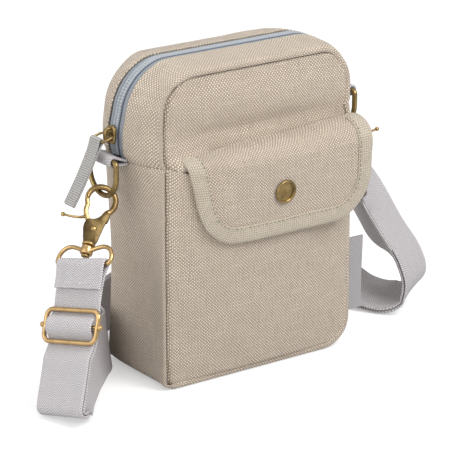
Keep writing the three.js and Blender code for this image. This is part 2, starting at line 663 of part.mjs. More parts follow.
// Lever: a gate that closes the hook's gap, a hub on the rivet and a thumb arm with a knob
const gatePath = [...arc(0, 0, hookRadius, 191, 212, 4), [-7.8, -8.2], [-6.6, -12], [-3.4, -16.6],
  [-0.6, -19.6]];
const thumbPath = [[-6.4, -12.6], [-10, -13.4], [-20, -13.6]];
function leverBody() {
  const pieces = [plate(stripOutline(gatePath, 1.5), 2.1), plate(stripOutline(thumbPath, 0.9), 1.8),
    pinZ(2.9, 2.1, 0, -rivetDrop), new THREE.SphereGeometry(1.6, 8, 6).translate(-20.4, -13.6, 0)];
  return fromManifold(joined(pieces).subtract(toManifold(pinZ(1.4, 4, 0, -rivetDrop))));
}

// Swivel: a barrel on the stem and a wire loop that carries the strap
const loopSide = [[2.9, -34.3], [7.5, -32.7], [12.2, -31.7], ...arc(13.1, -39.6, 7.8, 84, 0, 5),
  ...arc(18.9, -41.1, 2, -10, -90, 3)];
const barrelProfile = [[1.95, -37.1], [3.7, -37.1], [4, -36.4], [4, -32.2], [3.6, -31.3], [1.95, -31.3],
  [1.95, -37.1]].map(([r, y]) => new THREE.Vector2(r, y));
function swivelBody() {
  const path = [...loopSide, ...loopSide.map(([x, y]) => [-x, y]).reverse()];
  return fromManifold(joined([wire(path, loopWire, false), new THREE.LatheGeometry(barrelProfile, 12)]));
}

// D-ring in its own plane: straight bar on top, its middle at the origin
const ringPath = [...arc(12.6, -2.4, 2.4, 90, 0, 3), ...arc(0, -9, 15, 0, -180, 10),
  ...arc(-12.6, -2.4, 2.4, 180, 90, 3)];
const ringDrop = 24;
const hookHang = hookRadius - hookWire - ringWire - 1.2;

function clasp(side, hook, bar, facing, width, seam) {
  const up = hook.clone().sub(bar).normalize();
  const hookFrame = frameAt(hook, up, facing);
  add(`clasp_hook_${side}`, hookBody(), brass).applyMatrix4(hookFrame);
  add(`clasp_lever_${side}`, leverBody(), brass).applyMatrix4(hookFrame);
  const across = squareTo(width, up);
  add(`clasp_swivel_${side}`, swivelBody(), brass).applyMatrix4(frameAt(hook, up, across.clone().cross(up)));
  const ringBar = hook.clone().addScaledVector(up, hookHang).add(v3(0, 0, ringDrop));
  add(`d_ring_${side}`, wire(ringPath, ringWire, true), brass)
    .applyMatrix4(frameAt(ringBar, v3(0, 0, 1), v3(1, 0, 0)));

  // Tab: webbing from the gusset's seam round the ring's bar and back
  const ys = steps(ringBar.y - tabWidth / 2, ringBar.y + tabWidth / 2, 6);
  const root = (y, k) => gussetPoint(seam - 1.6 * k, y, gap + 0.15);
  const along = ringBar.clone().sub(root(ringBar.y, 0)).setY(0).normalize();
  const rise = v3(-along.z, 0, along.x).multiplyScalar(1.6);
  const face = (k) => [
    ys.map((y) => root(y, k)),
    ys.map((y) => v3(ringBar.x, y, ringBar.z).addScaledVector(rise, k)),
  ];
  const roll = (r, long) => (
    new THREE.CylinderGeometry(r, r, long, 14).translate(ringBar.x, ringBar.y, ringBar.z)
  );
  const tab = joined([wallSolid(face(1), face(-1)), roll(ringWire + 2, tabWidth)]);
  const bore = toManifold(roll(ringWire + 0.35, tabWidth + 4));
  add(`ring_tab_${side}`, fromManifold(tab.subtract(bore)), webbing);
}
clasp('left', leftHook, leftBar, leftFacing, ribbonFrame(0).w, leftSeam);
clasp('right', rightHook, rightBar, rightFacing, ribbonFrame(ribbonLong).w, rightSeam);

// Zip slider at the left end of the coil, with its pull ring and a folded pull tape
const sliderHeight = 162;
const sliderAt = sliderHeight - cornerLow.left;
const sliderBase = gussetPoint(sliderAt, 2, 0.4 + gap);
const zipUp = gussetPoint(sliderAt + 3, 2, 0.4).sub(gussetPoint(sliderAt - 3, 2, 0.4)).normalize();
const sliderFrame = frameAt(sliderBase, zipUp, v3(-1, 0, 0));
const outAxis = new THREE.Matrix4().makeBasis(v3(0, 1, 0), v3(0, 0, 1), v3(1, 0, 0));
const sliderOutline = [[-3, -5.5], [3, -5.5], [4.2, -2], [4.4, 3], [2.6, 5.5], [-2.6, 5.5], [-4.4, 3],
  [-4.2, -2]];
const bridgePath = [[-4, 1], ...arc(-1.6, 3.4, 2.4, 180, 90, 3), ...arc(1.6, 3.4, 2.4, 90, 0, 3), [4, 1]];
const bridge = wire(bridgePath, 0.9, false, 6).applyMatrix4(outAxis);
const sliderBody = joined([plate(sliderOutline, 2.2).translate(0, 0, 1.1), bridge]);
add('zip_slider', fromManifold(sliderBody), brass).applyMatrix4(sliderFrame);
const pullRing = { wide: 13, long: 8.4, wire: 0.8, rise: 3.6, drop: 18 };
const ringTurn = new THREE.Matrix4().makeRotationX(radians(90 + pullRing.drop));
ringTurn.setPosition(0, 0, pullRing.rise);
const pullFrame = sliderFrame.clone().multiply(ringTurn);
const pullWire = wire(roundedFrame(pullRing.wide, pullRing.long, 2, 3), pullRing.wire, true, 6);
add('zip_pull_ring', pullWire.translate(0, pullRing.long / 2, 0), brass).applyMatrix4(pullFrame);
const pullTape = { wide: 8.6, long: 43, thick: 1.1 };
const pullTop = v3(0, pullRing.long, 0).applyMatrix4(pullFrame);
const pullSide = v3(1, 0, 0).transformDirection(pullFrame);
const pullDown = squareTo(rowPoint(pullTip).sub(pullTop).normalize(), pullSide);
const pullFace = pullSide.clone().cross(pullDown);
const pullWrap = pullRing.wire + 0.3 + pullTape.thick / 2;
const pullLayer = pullTape.thick / 2 + 0.2;
const pullRoute = [[pullTape.long, pullLayer], [24, pullLayer], [6, pullLayer + 0.2],
  ...arc(0, 0, pullWrap, 70, 290, 8), [6, -pullLayer - 0.2], [24, -pullLayer], [pullTape.long, -pullLayer]];
const pullStrip = pullRoute.map(([d, off]) => ({
  p: pullTop.clone().addScaledVector(pullDown, d).addScaledVector(pullFace, off),
  w: pullSide,
}));
add('zip_pull_tape', stripSolid(pullStrip, pullTape.wide, pullTape.thick), webbing);

export default bag;
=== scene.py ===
import bmesh
import bpy
import numpy as np
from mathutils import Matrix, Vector


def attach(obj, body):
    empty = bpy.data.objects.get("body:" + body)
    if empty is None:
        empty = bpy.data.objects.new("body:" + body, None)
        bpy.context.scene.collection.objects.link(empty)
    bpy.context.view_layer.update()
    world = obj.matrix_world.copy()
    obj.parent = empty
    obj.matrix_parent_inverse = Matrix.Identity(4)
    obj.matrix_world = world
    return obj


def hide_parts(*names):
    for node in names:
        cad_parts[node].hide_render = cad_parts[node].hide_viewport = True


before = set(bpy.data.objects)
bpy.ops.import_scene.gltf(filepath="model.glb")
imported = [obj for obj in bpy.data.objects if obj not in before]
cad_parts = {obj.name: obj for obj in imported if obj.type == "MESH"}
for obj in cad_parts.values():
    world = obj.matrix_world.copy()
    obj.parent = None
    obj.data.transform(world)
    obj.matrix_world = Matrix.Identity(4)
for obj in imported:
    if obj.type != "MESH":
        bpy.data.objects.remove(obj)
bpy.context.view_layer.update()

print("frame loaded,", len(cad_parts), "nodes")

# Camera, floor and light

cameraView = {"azimuth": -35.685, "elevation": 18.904, "distance": 1.6782, "aimRight": 0.00033,
              "aimHeight": 0.0845, "lens": 204.8, "sensor": 36}
softLights = [  # place and aim in metres, side of the square lamp in metres, power in watts
    {"name": "keyLamp", "place": (0.26, -0.82, 0.98), "aim": (0, 0, 0.1), "size": 0.6, "power": 11},
    {"name": "fillLamp", "place": (-1.5, -0.35, 0.75), "aim": (0, 0, 0.1), "size": 1.8, "power": 13},
    {"name": "sideLamp", "place": (-0.9, 0.3, 0.4), "aim": (-0.07, 0, 0.05), "size": 0.5, "power": 1.2},
    {"name": "topLamp", "place": (-0.1, 0.35, 1.6), "aim": (0, 0, 0.1), "size": 1.2, "power": 4},
]
studio = {"worldColour": (1.0, 1.0, 1.0, 1), "worldStrength": 0.62, "floorColour": (0.66, 0.66, 0.66, 1),
          "floorRough": 0.9, "floorHalf": 4.0, "floorDrop": 0.0002, "floorGlow": 0.42}


def linkAimed(data, place, heading):  # an object that looks along the heading
    thing = bpy.data.objects.new(data.name, data)
    thing.location = place
    thing.rotation_mode = "QUATERNION"
    thing.rotation_quaternion = Vector(heading).to_track_quat("-Z", "Y")
    bpy.context.scene.collection.objects.link(thing)
    return thing


# The camera stands at the aim point plus the distance times the unit vector of its azimuth and elevation
def setCamera(view):
    turn, rise = np.radians([view["azimuth"], view["elevation"]])
    back = Vector((np.sin(turn) * np.cos(rise), -np.cos(turn) * np.cos(rise), np.sin(rise)))
    right = Vector((np.cos(turn), np.sin(turn), 0))
    data = bpy.data.cameras.new("photoCamera")
    data.sensor_width = view["sensor"]
    data.lens = view["lens"]
    aim = right * view["aimRight"] + Vector((0, 0, view["aimHeight"]))
    bpy.context.scene.camera = linkAimed(data, aim + back * view["distance"], -back)


def addLamp(name, place, aim, size, power):
    data = bpy.data.lights.new(name, "AREA")
    data.size = size
    data.energy = power
    linkAimed(data, place, Vector(aim) - Vector(place))


# Floor: it glows only in the camera's own rays, so that it looks pale and still takes soft shadows
def setStudio(values):
    world = bpy.data.worlds.new("studioWorld")
    world.use_nodes = True
    background = world.node_tree.nodes["Background"]
    background.inputs["Color"].default_value = values["worldColour"]
    background.inputs["Strength"].default_value = values["worldStrength"]
    bpy.context.scene.world = world
    bpy.context.scene.view_settings.view_transform = "Standard"
    h, d = values["floorHalf"], -values["floorDrop"]
    mesh = bpy.data.meshes.new("studioFloor")
    mesh.from_pydata([(-h, -h, d), (h, -h, d), (h, h, d), (-h, h, d)], [], [(0, 1, 2, 3)])
    paint = bpy.data.materials.new("studioFloor")
    paint.use_nodes = True
    tree = paint.node_tree
    shader = tree.nodes["Principled BSDF"]
    shader.inputs["Base Color"].default_value = values["floorColour"]
    shader.inputs["Roughness"].default_value = values["floorRough"]
    shader.inputs["Emission Color"].default_value = (1, 1, 1, 1)
    glow = tree.nodes.new("ShaderNodeMath")
    glow.operation = "MULTIPLY"
    glow.inputs[1].default_value = values["floorGlow"]
    tree.links.new(tree.nodes.new("ShaderNodeLightPath").outputs["Is Camera Ray"], glow.inputs[0])
    tree.links.new(glow.outputs[0], shader.inputs["Emission Strength"])
    mesh.materials.append(paint)
    floor = bpy.data.objects.new("studioFloor", mesh)
    bpy.context.scene.collection.objects.link(floor)


setCamera(cameraView)
for lamp in softLights:
    addLamp(**lamp)
setStudio(studio)
print("camera, floor and lights set")

# Mesh tools

mm = 0.001
cutScale = 0.01  # a cloth map unit is 100 mm of cloth
mergeGap = 1e-6  # metres


def unit(v):
    return v / np.maximum(np.linalg.norm(v, axis=-1, keepdims=True), 1e-9)


# Joins grids of points (rows x columns, in mm) by quads into one mesh; a grid may come in many copies.
# Points that meet are merged, and a grid whose quads enclose a negative volume is turned round.
def makePiece(name, parts, look, stands=(), body="bag", crease=40):
    points, quads, cuts, start = [], [], [], 0
    for grid, cut in parts:
        r, c = grid.shape[-3:-1]
        copies = grid.reshape(-1, r * c, 3)
        k = np.arange(r * c).reshape(r, c)
        quad = np.stack([k[:-1, :-1], k[:-1, 1:], k[1:, 1:], k[1:, :-1]], -1).reshape(-1, 4)
        a, b, d, e = (copies[0][quad[:, i]] - copies[0].mean(0) for i in range(4))
        if np.sum(a * (np.cross(b, d) + np.cross(d, e))) < 0:
            quad = quad[:, ::-1]
        shift = start + r * c * np.arange(len(copies))
        quads.append((quad[None] + shift[:, None, None]).reshape(-1, 4))
        points.append(copies.reshape(-1, 3))
        cuts.append(np.broadcast_to(cut, (len(copies), r, c, 2)).reshape(-1, 2))
        start += len(copies) * r * c
    points, quads, cuts = np.vstack(points) * mm, np.vstack(quads), np.vstack(cuts) * cutScale
    mesh = bpy.data.meshes.new(name)
    mesh.from_pydata(points, [], quads)
    layer = mesh.uv_layers.new(name="cut")
    layer.data.foreach_set("uv", cuts[quads.ravel()].astype(np.float32).ravel())
    net = bmesh.new()
    net.from_mesh(mesh)
    bmesh.ops.remove_doubles(net, verts=net.verts, dist=mergeGap)
    net.to_mesh(mesh)
    net.free()
    mesh.polygons.foreach_set("use_smooth", np.ones(len(mesh.polygons), bool))
    mesh.set_sharp_from_angle(angle=np.radians(crease))
    mesh.materials.append(looks[look])
    piece = bpy.data.objects.new(name, mesh)
    bpy.context.scene.collection.objects.link(piece)
    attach(piece, body)
    if stands:
        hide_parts(*stands)
    print("made", name, len(mesh.polygons), "faces")
    return piece


# Closed wall between two faces: each row runs along the outer face, round the edge, which bulges by edge,
# and back along the inner face, and the first and last rows close halfway between the faces
def wallPart(outer, inner, cut, edge=0.0):
    middle = (outer + inner) / 2
    right = middle[:, -1:] + edge * unit(middle[:, -1:] - middle[:, -2:-1])
    left = middle[:, :1] + edge * unit(middle[:, :1] - middle[:, 1:2])
    ring = np.concatenate([left, outer, right, inner[:, ::-1], left], 1)
    shut = np.concatenate([left, middle, right, middle[:, ::-1], left], 1)
    grid = np.concatenate([shut[:1], ring, shut[-1:]], 0)
    lap = np.concatenate([cut[:, :1], cut, cut[:, -1:], cut[:, ::-1], cut[:, :1]], 1)
    return grid, np.concatenate([lap[:1], lap, lap[-1:]], 0)


# Cloth of even thickness about a middle surface, along the cross product of the surface's two slopes
def clothPart(middle, thick, cut, edge=0.0):
    normal = unit(np.cross(np.gradient(middle, axis=0), np.gradient(middle, axis=1)))
    return wallPart(middle + normal * thick / 2, middle - normal * thick / 2, cut, edge)


def stacked(*columns):  # columns side by side, as the coordinates of points
    return np.stack(np.broadcast_arrays(*columns), -1).astype(float)


def pickAt(at, far, rows):  # rows of points at distances along them
    return stacked(*(np.interp(at, far, column) for column in rows.T))


# Value of a table of (at, value) rows: a cubic between rows, with slopes from the rows on either side
def tableAt(rows, at):
    x, y = np.array(rows, float).T
    k = np.arange(len(x))
    up, down = np.minimum(k + 1, len(x) - 1), np.maximum(k - 1, 0)
    slope = (y[up] - y[down]) / (x[up] - x[down])
    at = np.clip(at, x[0], x[-1])
    i = np.clip(np.searchsorted(x, at) - 1, 0, len(x) - 2)
    span = x[i + 1] - x[i]
    t = (at - x[i]) / span
    bend = t * (1 - t) * span * (slope[i] * (1 - t) - slope[i + 1] * t)
    return y[i] + (y[i + 1] - y[i]) * t * t * (3 - 2 * t) + bend


def lengthsAlong(points):  # running sum of the gaps between points
    return np.concatenate([[0], np.cumsum(np.linalg.norm(np.diff(points, axis=0), axis=1))])


# A smooth line through lists of points: each coordinate is a cubic table of the distance along them
def smoothLine(count, *lists):
    points = np.concatenate(lists).astype(float)
    far = lengthsAlong(points)
    at = np.linspace(0, far[-1], count)
    return stacked(*(tableAt(stacked(far, column), at) for column in points.T))


def spread(count, ends=0.55):  # steps from 0 to 1, closer together at both ends
    t = np.linspace(0, 1, count)
    return (1 - ends) * t + ends * (1 - np.cos(np.pi * t)) / 2


def smoothStep(t):  # three times the square less twice the cube, held at 0 and 1
    t = np.clip(t, 0, 1)
    return t * t * (3 - 2 * t)


def ramp(at, start, over):  # smooth step from a starting place, over a length
    return smoothStep((at - start) / over)


def bell(at, size, middle, wide):  # bell curve of a size about a middle
    return size * np.exp(-((at - middle) / wide) ** 2)


# Slow uneven waves of slack cloth: three sines of different lengths and headings
def slack(u, v, amount, phase):
    wave = 0.5 * np.sin(u / 17 + v / 23 + phase) + 0.3 * np.sin(u / 9.3 - v / 12.7 + 2 * phase)
    return amount * (wave + 0.2 * np.sin(u / 6.1 + v / 5.3 + 3 * phase))


# Frame with its Y axis up and its Z axis as near as it can be to facing: origin and 3x3 axes
def frameAt(origin, up, facing):
    y = unit(np.array(up, float))
    x = unit(np.cross(y, facing))
    return np.array(origin, float), stacked(x, y, np.cross(x, y))


def placed(local, place):  # local points set in a frame
    return place[0] + local @ place[1].T


def ringArc(cx, cy, r, start, stop, count):  # part of a circle, from one angle to another in degrees
    a = np.radians(np.linspace(start, stop, count))
    return stacked(cx + r * np.cos(a), cy + r * np.sin(a))


# Bar along a line in the XY plane: its section is a superellipse of the given half width in the plane and
# half thickness across it, equal unless both are given, and open ends close through quarter-round rings
def barPart(line, wide, deep=None, closed=False, sides=20, square=1.0):
    line = np.array(line, float)
    deep = wide if deep is None else deep
    wide, deep = (np.broadcast_to(v, len(line)).astype(float) for v in (wide, deep))
    grow = np.ones(len(line))
    if closed:
        slope = unit(np.roll(line, -1, 0) - np.roll(line, 1, 0))
        line, slope, wide, deep, grow = (np.concatenate([v, v[:1]]) for v in (line, slope, wide, deep, grow))
    else:
        slope = unit(np.gradient(line, axis=0))
        a = np.radians([90, 70, 45, 22])
        lead = line[:1] - slope[:1] * (deep[0] * np.sin(a))[:, None]
        tail = line[-1:] + slope[-1:] * (deep[-1] * np.sin(a[::-1]))[:, None]
        line = np.concatenate([lead, line, tail])
        slope, wide, deep = (np.concatenate([v[[0] * 4], v, v[[-1] * 4]]) for v in (slope, wide, deep))
        grow = np.concatenate([np.cos(a), grow, np.cos(a[::-1])])
    t = np.linspace(0, 2 * np.pi, sides + 1)
    ca, sa = (np.sign(v) * np.abs(v) ** square for v in (np.cos(t), np.sin(t)))
    side = stacked(-slope[:, 1], slope[:, 0])
    flat = line[:, None] + side[:, None] * (ca * (wide * grow)[:, None])[..., None]
    grid = np.concatenate([flat, (sa * (deep * grow)[:, None])[..., None]], -1)
    grid[:, -1] = grid[:, 0]
    if closed:
        grid[-1] = grid[0]
    return grid, stacked(lengthsAlong(line)[:, None], t * 2)


# Turned shape about the local Y axis: the profile's radius swept round the axis at the profile's height
def turnedPart(profile, sides):
    profile = np.array(profile, float)
    t = np.linspace(0, 2 * np.pi, sides + 1)
    r, y = profile[:, :1], profile[:, 1:]
    grid = stacked(r * np.cos(t), y, r * np.sin(t))
    grid[:, -1] = grid[:, 0]
    return grid, stacked(lengthsAlong(profile)[:, None], t * 3)


# Plate of a closed outline in the XY plane: rings from the middle of one face over rounded edges to the other
def platePart(outline, low, high, edge):
    outline = np.array(outline, float)
    slope = unit(np.roll(outline, -1, 0) - np.roll(outline, 1, 0))
    out = stacked(slope[:, 1], -slope[:, 0])
    spin = np.sum(outline * np.roll(outline[:, ::-1] * [1, -1], -1, 0))
    out = out if spin > 0 else -out
    a = np.radians([90, 60, 30, 0])
    inset = np.concatenate([edge * (1 - np.cos(a)), edge * (1 - np.cos(a[::-1]))])
    height = np.concatenate([high - edge * (1 - np.sin(a)), low + edge * (1 - np.sin(a[::-1]))])
    flat = outline[None] - out[None] * inset[:, None, None]
    rings = np.concatenate([flat, np.broadcast_to(height[:, None, None], flat.shape[:2] + (1,))], -1)
    poles = [np.broadcast_to(np.append(outline.mean(0), z), rings[:1].shape) for z in (high, low)]
    grid = np.concatenate([poles[0], rings, poles[1]], 0)
    grid = np.concatenate([grid, grid[:, :1]], 1)
    return grid, stacked(np.arange(len(grid))[:, None], np.arange(grid.shape[1]))


# Ball: a turned half circle
def ballPart(radius, place):
    grid, cut = turnedPart(ringArc(0, 0, radius, -90, 90, 13), 20)
    return grid + np.array(place), cut


# Thread stitches evenly spaced along a line of points, with the way out of the cloth there: each a capsule
# along the seam, its ends dipping into the cloth by the square of the length
def stitchPart(line, out, gap, long=2.1, thick=0.34, dip=0.3):
    far = lengthsAlong(line)
    at = np.arange(gap / 2, far[-1] - gap / 4, gap)
    places, along, out = (pickAt(at, far, rows) for rows in (line, np.gradient(line, axis=0), out))
    along, out = unit(along), unit(out)
    t = np.linspace(-1, 1, 7)
    girth = np.sqrt(np.maximum(0, 1 - t ** 4))
    a = np.linspace(0, 2 * np.pi, 7)
    side = np.cross(out, along)
    up = thick * girth[:, None] * np.sin(a) - dip * t[:, None] ** 2
    wide = thick * girth[:, None] * np.cos(a)
    wide[:, -1], up[:, -1] = wide[:, 0], up[:, 0]
    run = np.broadcast_to(t[:, None] * long / 2, wide.shape)
    grid = (places[:, None, None] + along[:, None, None] * run[None, ..., None]
            + side[:, None, None] * wide[None, ..., None] + out[:, None, None] * up[None, ..., None])
    return grid, stacked(t[:, None], a)


# Finishes

halfTurn = 3.14159


def plug(tree, socket, value):
    if isinstance(value, bpy.types.NodeSocket):
        tree.links.new(value, socket)
    else:
        socket.default_value = value


def calculator(tree):
    def calc(operation, *values):
        node = tree.nodes.new("ShaderNodeMath")
        node.operation = operation
        for socket, value in zip(node.inputs, values):
            plug(tree, socket, value)
        return node.outputs[0]
    return calc


# Node group that takes a place and named numbers and gives named numbers
def startGroup(name, inputs, outputs):
    tree = bpy.data.node_groups.new(name, "ShaderNodeTree")
    tree.interface.new_socket("Place", in_out="INPUT", socket_type="NodeSocketVector")
    for label, value in inputs.items():
        tree.interface.new_socket(label, in_out="INPUT", socket_type="NodeSocketFloat").default_value = value
    for label in outputs:
        tree.interface.new_socket(label, in_out="OUTPUT", socket_type="NodeSocketFloat")
    got, give = tree.nodes.new("NodeGroupInput").outputs, tree.nodes.new("NodeGroupOutput").inputs
    return tree, got, give, calculator(tree)


def noiseAt(tree, place, scale, detail):
    node = tree.nodes.new("ShaderNodeTexNoise")
    node.inputs["Scale"].default_value = scale
    node.inputs["Detail"].default_value = detail
    plug(tree, node.inputs["Vector"], place)
    return node.outputs["Fac"]


def vectorOf(tree, x, y, z):
    node = tree.nodes.new("ShaderNodeCombineXYZ")
    for socket, value in zip(node.inputs, (x, y, z)):
        plug(tree, socket, value)
    return node.outputs[0]


def axesOf(tree, place):
    node = tree.nodes.new("ShaderNodeSeparateXYZ")
    tree.links.new(place, node.inputs[0])
    return node.outputs


def mixColour(tree, amount, first, second):
    node = tree.nodes.new("ShaderNodeMix")
    node.data_type = "RGBA"
    for k, value in ((0, amount), (6, first), (7, second)):
        plug(tree, node.inputs[k], value)
    return node.outputs[2]


def ridgeOf(calc, at, factor):  # size of the sine of a number times a factor
    return calc("ABSOLUTE", calc("SINE", calc("MULTIPLY", at, factor)))


# Plain weave on flat cloth in mm: in each square of a checkerboard one set of threads lies on top, its height
# the root of a sine across the thread; Over says which set, Tone is each thread's own shade with slubs
def plainWeaveGroup():
    sizes = {"Pitch": 1.1, "Wander": 0.5}
    tree, got, give, calc = startGroup("plainWeave", sizes, ["Height", "Over", "Tone"])
    apart = axesOf(tree, got["Place"])
    lines = []
    for k, axis in enumerate("XY"):
        drift = noiseAt(tree, got["Place"], 0.09 + 0.03 * k, 1.0)
        moved = calc("ADD", apart[axis], calc("MULTIPLY", calc("SUBTRACT", drift, 0.5), got["Wander"]))
        lines.append(calc("DIVIDE", moved, got["Pitch"]))
    index = [calc("FLOOR", line) for line in lines]
    hump = [calc("SINE", calc("MULTIPLY", calc("FRACT", line), halfTurn)) for line in lines]
    over = calc("FLOORED_MODULO", calc("ADD", index[0], index[1]), 2.0)
    under = calc("SUBTRACT", 1.0, over)
    pick = lambda values: calc("ADD", calc("MULTIPLY", over, values[0]), calc("MULTIPLY", under, values[1]))
    heights, tones = [], []
    for k in (0, 1):
        swell = calc("MULTIPLY_ADD", hump[1 - k], 0.45, 0.55)
        heights.append(calc("MULTIPLY", calc("POWER", hump[k], 0.5), swell))
        along = calc("MULTIPLY", lines[1 - k], 0.07)
        thread = calc("MULTIPLY", calc("ADD", index[k], 0.5), 0.83)
        tones.append(noiseAt(tree, vectorOf(tree, along, thread, 7.0 * k), 1.0, 3.0))
    plug(tree, give["Height"], pick(heights))
    plug(tree, give["Over"], over)
    plug(tree, give["Tone"], pick(tones))
    return tree


# Herringbone webbing in mm: a sine of the length plus a zigzag of the width, with a finer cross rib under it
def herringboneGroup():
    sizes = {"Pitch": 2.0, "Column": 9.5, "Lean": 0.5}
    tree, got, give, calc = startGroup("herringbone", sizes, ["Height", "Tone"])
    apart = axesOf(tree, got["Place"])
    zigzag = calc("PINGPONG", apart["Y"], got["Column"])
    run = calc("DIVIDE", calc("MULTIPLY_ADD", zigzag, got["Lean"], apart["X"]), got["Pitch"])
    cross = calc("MULTIPLY_ADD", ridgeOf(calc, apart["Y"], halfTurn / 0.95), 0.4, 0.6)
    plug(tree, give["Height"], calc("MULTIPLY", ridgeOf(calc, run, halfTurn), cross))
    plug(tree, give["Tone"], noiseAt(tree, got["Place"], 0.9, 3.0))
    return tree


# Rib across a narrow tape in mm: the root of a sine along the tape, with a faint warp across it
def ribGroup():
    tree, got, give, calc = startGroup("crossRib", {"Pitch": 1.4}, ["Height", "Tone"])
    apart = axesOf(tree, got["Place"])
    ridge = calc("POWER", ridgeOf(calc, calc("DIVIDE", apart["X"], got["Pitch"]), halfTurn), 0.6)
    warp = calc("MULTIPLY_ADD", ridgeOf(calc, apart["Y"], halfTurn / 0.55), 0.2, 0.8)
    plug(tree, give["Height"], calc("MULTIPLY", ridge, warp))
    plug(tree, give["Tone"], noiseAt(tree, got["Place"], 0.7, 3.0))
    return tree


# Tarnish on metal: broad cloudy patches with finer specks, which also mark the surface for the bump
def tarnishGroup():
    tree, got, give, calc = startGroup("tarnish", {"Amount": 0.5}, ["Dark", "Mark"])
    cloud, speck = noiseAt(tree, got["Place"], 150.0, 4.0), noiseAt(tree, got["Place"], 900.0, 2.0)
    fine = calc("MULTIPLY", calc("SUBTRACT", speck, 0.5), 0.7)
    clamp = tree.nodes.new("ShaderNodeClamp")
    tree.links.new(calc("MULTIPLY_ADD", calc("SUBTRACT", cloud, 0.42), 2.6, fine), clamp.inputs[0])
    plug(tree, give["Dark"], calc("MULTIPLY", clamp.outputs[0], got["Amount"]))
    plug(tree, give["Mark"], speck)
    return tree


groups = {"plain": plainWeaveGroup(), "herringbone": herringboneGroup(), "rib": ribGroup(),
          "tarnish": tarnishGroup()}


def startLook(name, roughness, metallic=0.0, sheen=0.0):
    look = bpy.data.materials.new(name)
    look.use_nodes = True
    tree = look.node_tree
    shader = tree.nodes["Principled BSDF"]
    shader.inputs["Roughness"].default_value = roughness
    shader.inputs["Metallic"].default_value = metallic
    shader.inputs["Sheen Weight"].default_value = sheen
    return look, tree, shader, calculator(tree)


def placeGroup(tree, group, place, **values):
    node = tree.nodes.new("ShaderNodeGroup")
    node.node_tree = groups[group]
    plug(tree, node.inputs["Place"], place)
    for label, value in values.items():
        plug(tree, node.inputs[label], value)
    return node.outputs


# Cloth map in mm, turned by an angle
def clothPlace(tree, turn=0.0):
    cut = tree.nodes.new("ShaderNodeUVMap")
    cut.uv_map = "cut"
    mapping = tree.nodes.new("ShaderNodeMapping")
    mapping.inputs["Scale"].default_value = (1 / cutScale,) * 3
    mapping.inputs["Rotation"].default_value = (0, 0, np.radians(turn))
    tree.links.new(cut.outputs[0], mapping.inputs[0])
    return mapping.outputs[0]


def addBump(tree, shader, height, depth):
    bump = tree.nodes.new("ShaderNodeBump")
    bump.inputs["Strength"].default_value = 1.0
    bump.inputs["Distance"].default_value = depth
    plug(tree, bump.inputs["Height"], height)
    tree.links.new(bump.outputs[0], shader.inputs["Normal"])


# Linen: light and dark threads by tone and set, painted shade in a gap colour where the weave is sunk, and
# broad dark clouds
def linenLook(name, light, dark, gap, pitch, turn, wander):
    look, tree, shader, calc = startLook(name, 0.92, sheen=0.15)
    place = clothPlace(tree, turn)
    weave = placeGroup(tree, "plain", place, Pitch=pitch, Wander=wander)
    shade = calc("MULTIPLY_ADD", weave["Tone"], 1.8, calc("MULTIPLY_ADD", weave["Over"], 1.0, -0.9))
    sunk = calc("POWER", calc("SUBTRACT", 1.0, weave["Height"]), 0.95)
    cloud = calc("MULTIPLY_ADD", noiseAt(tree, place, 0.035, 3.0), 0.5, -0.1)
    # painted shade: where the weave is sunk between threads the gap colour takes over from the thread colour
    cloth = mixColour(tree, calc("MULTIPLY", sunk, 0.9), mixColour(tree, shade, dark, light), gap)
    tree.links.new(mixColour(tree, cloud, cloth, dark), shader.inputs["Base Color"])
    addBump(tree, shader, weave["Height"], 0.0005)
    return look


# Woven tape: painted shade where its pattern is sunk, by a power of the depth, and darker by the pattern's
# own tone
def tapeLook(name, light, dark, depth, pattern, rough=0.85, power=1.3, toneBy=0.3, sunkShadeBy=0.8, **sizes):
    look, tree, shader, calc = startLook(name, rough, sheen=0.1)
    weave = placeGroup(tree, pattern, clothPlace(tree), **sizes)
    # painted shade: the sunk parts of the pattern go toward the dark colour, as shade between the threads
    # would
    sunk = calc("POWER", calc("SUBTRACT", 1.0, weave["Height"]), power)
    shade = calc("MULTIPLY_ADD", weave["Tone"], toneBy, calc("MULTIPLY_ADD", sunk, sunkShadeBy, -0.1))
    tree.links.new(mixColour(tree, shade, light, dark), shader.inputs["Base Color"])
    addBump(tree, shader, weave["Height"], depth)
    return look


# Tarnished metal; with a painted light colour, the cloth map's first number says how far a part takes that
# painted light
def metalLook(name, bright, dark, roughness, amount, paintedLightColour=None):
    look, tree, shader, calc = startLook(name, roughness, metallic=1.0)
    place = tree.nodes.new("ShaderNodeTexCoord").outputs["Object"]
    tarnish = placeGroup(tree, "tarnish", place, Amount=amount)
    metal = mixColour(tree, tarnish["Dark"], bright, dark)
    if paintedLightColour:
        # painted light: a part whose map says 1 takes the lit copy of the colour, one at 0 keeps the shaded
        # copy
        paintedLightBy = axesOf(tree, clothPlace(tree))["X"]
        metal = mixColour(tree, paintedLightBy, metal, mixColour(tree, tarnish["Dark"], paintedLightColour, bright))
    tree.links.new(metal, shader.inputs["Base Color"])
    tree.links.new(calc("MULTIPLY_ADD", tarnish["Dark"], 0.3, roughness), shader.inputs["Roughness"])
    addBump(tree, shader, tarnish["Mark"], 0.00003)
    return look
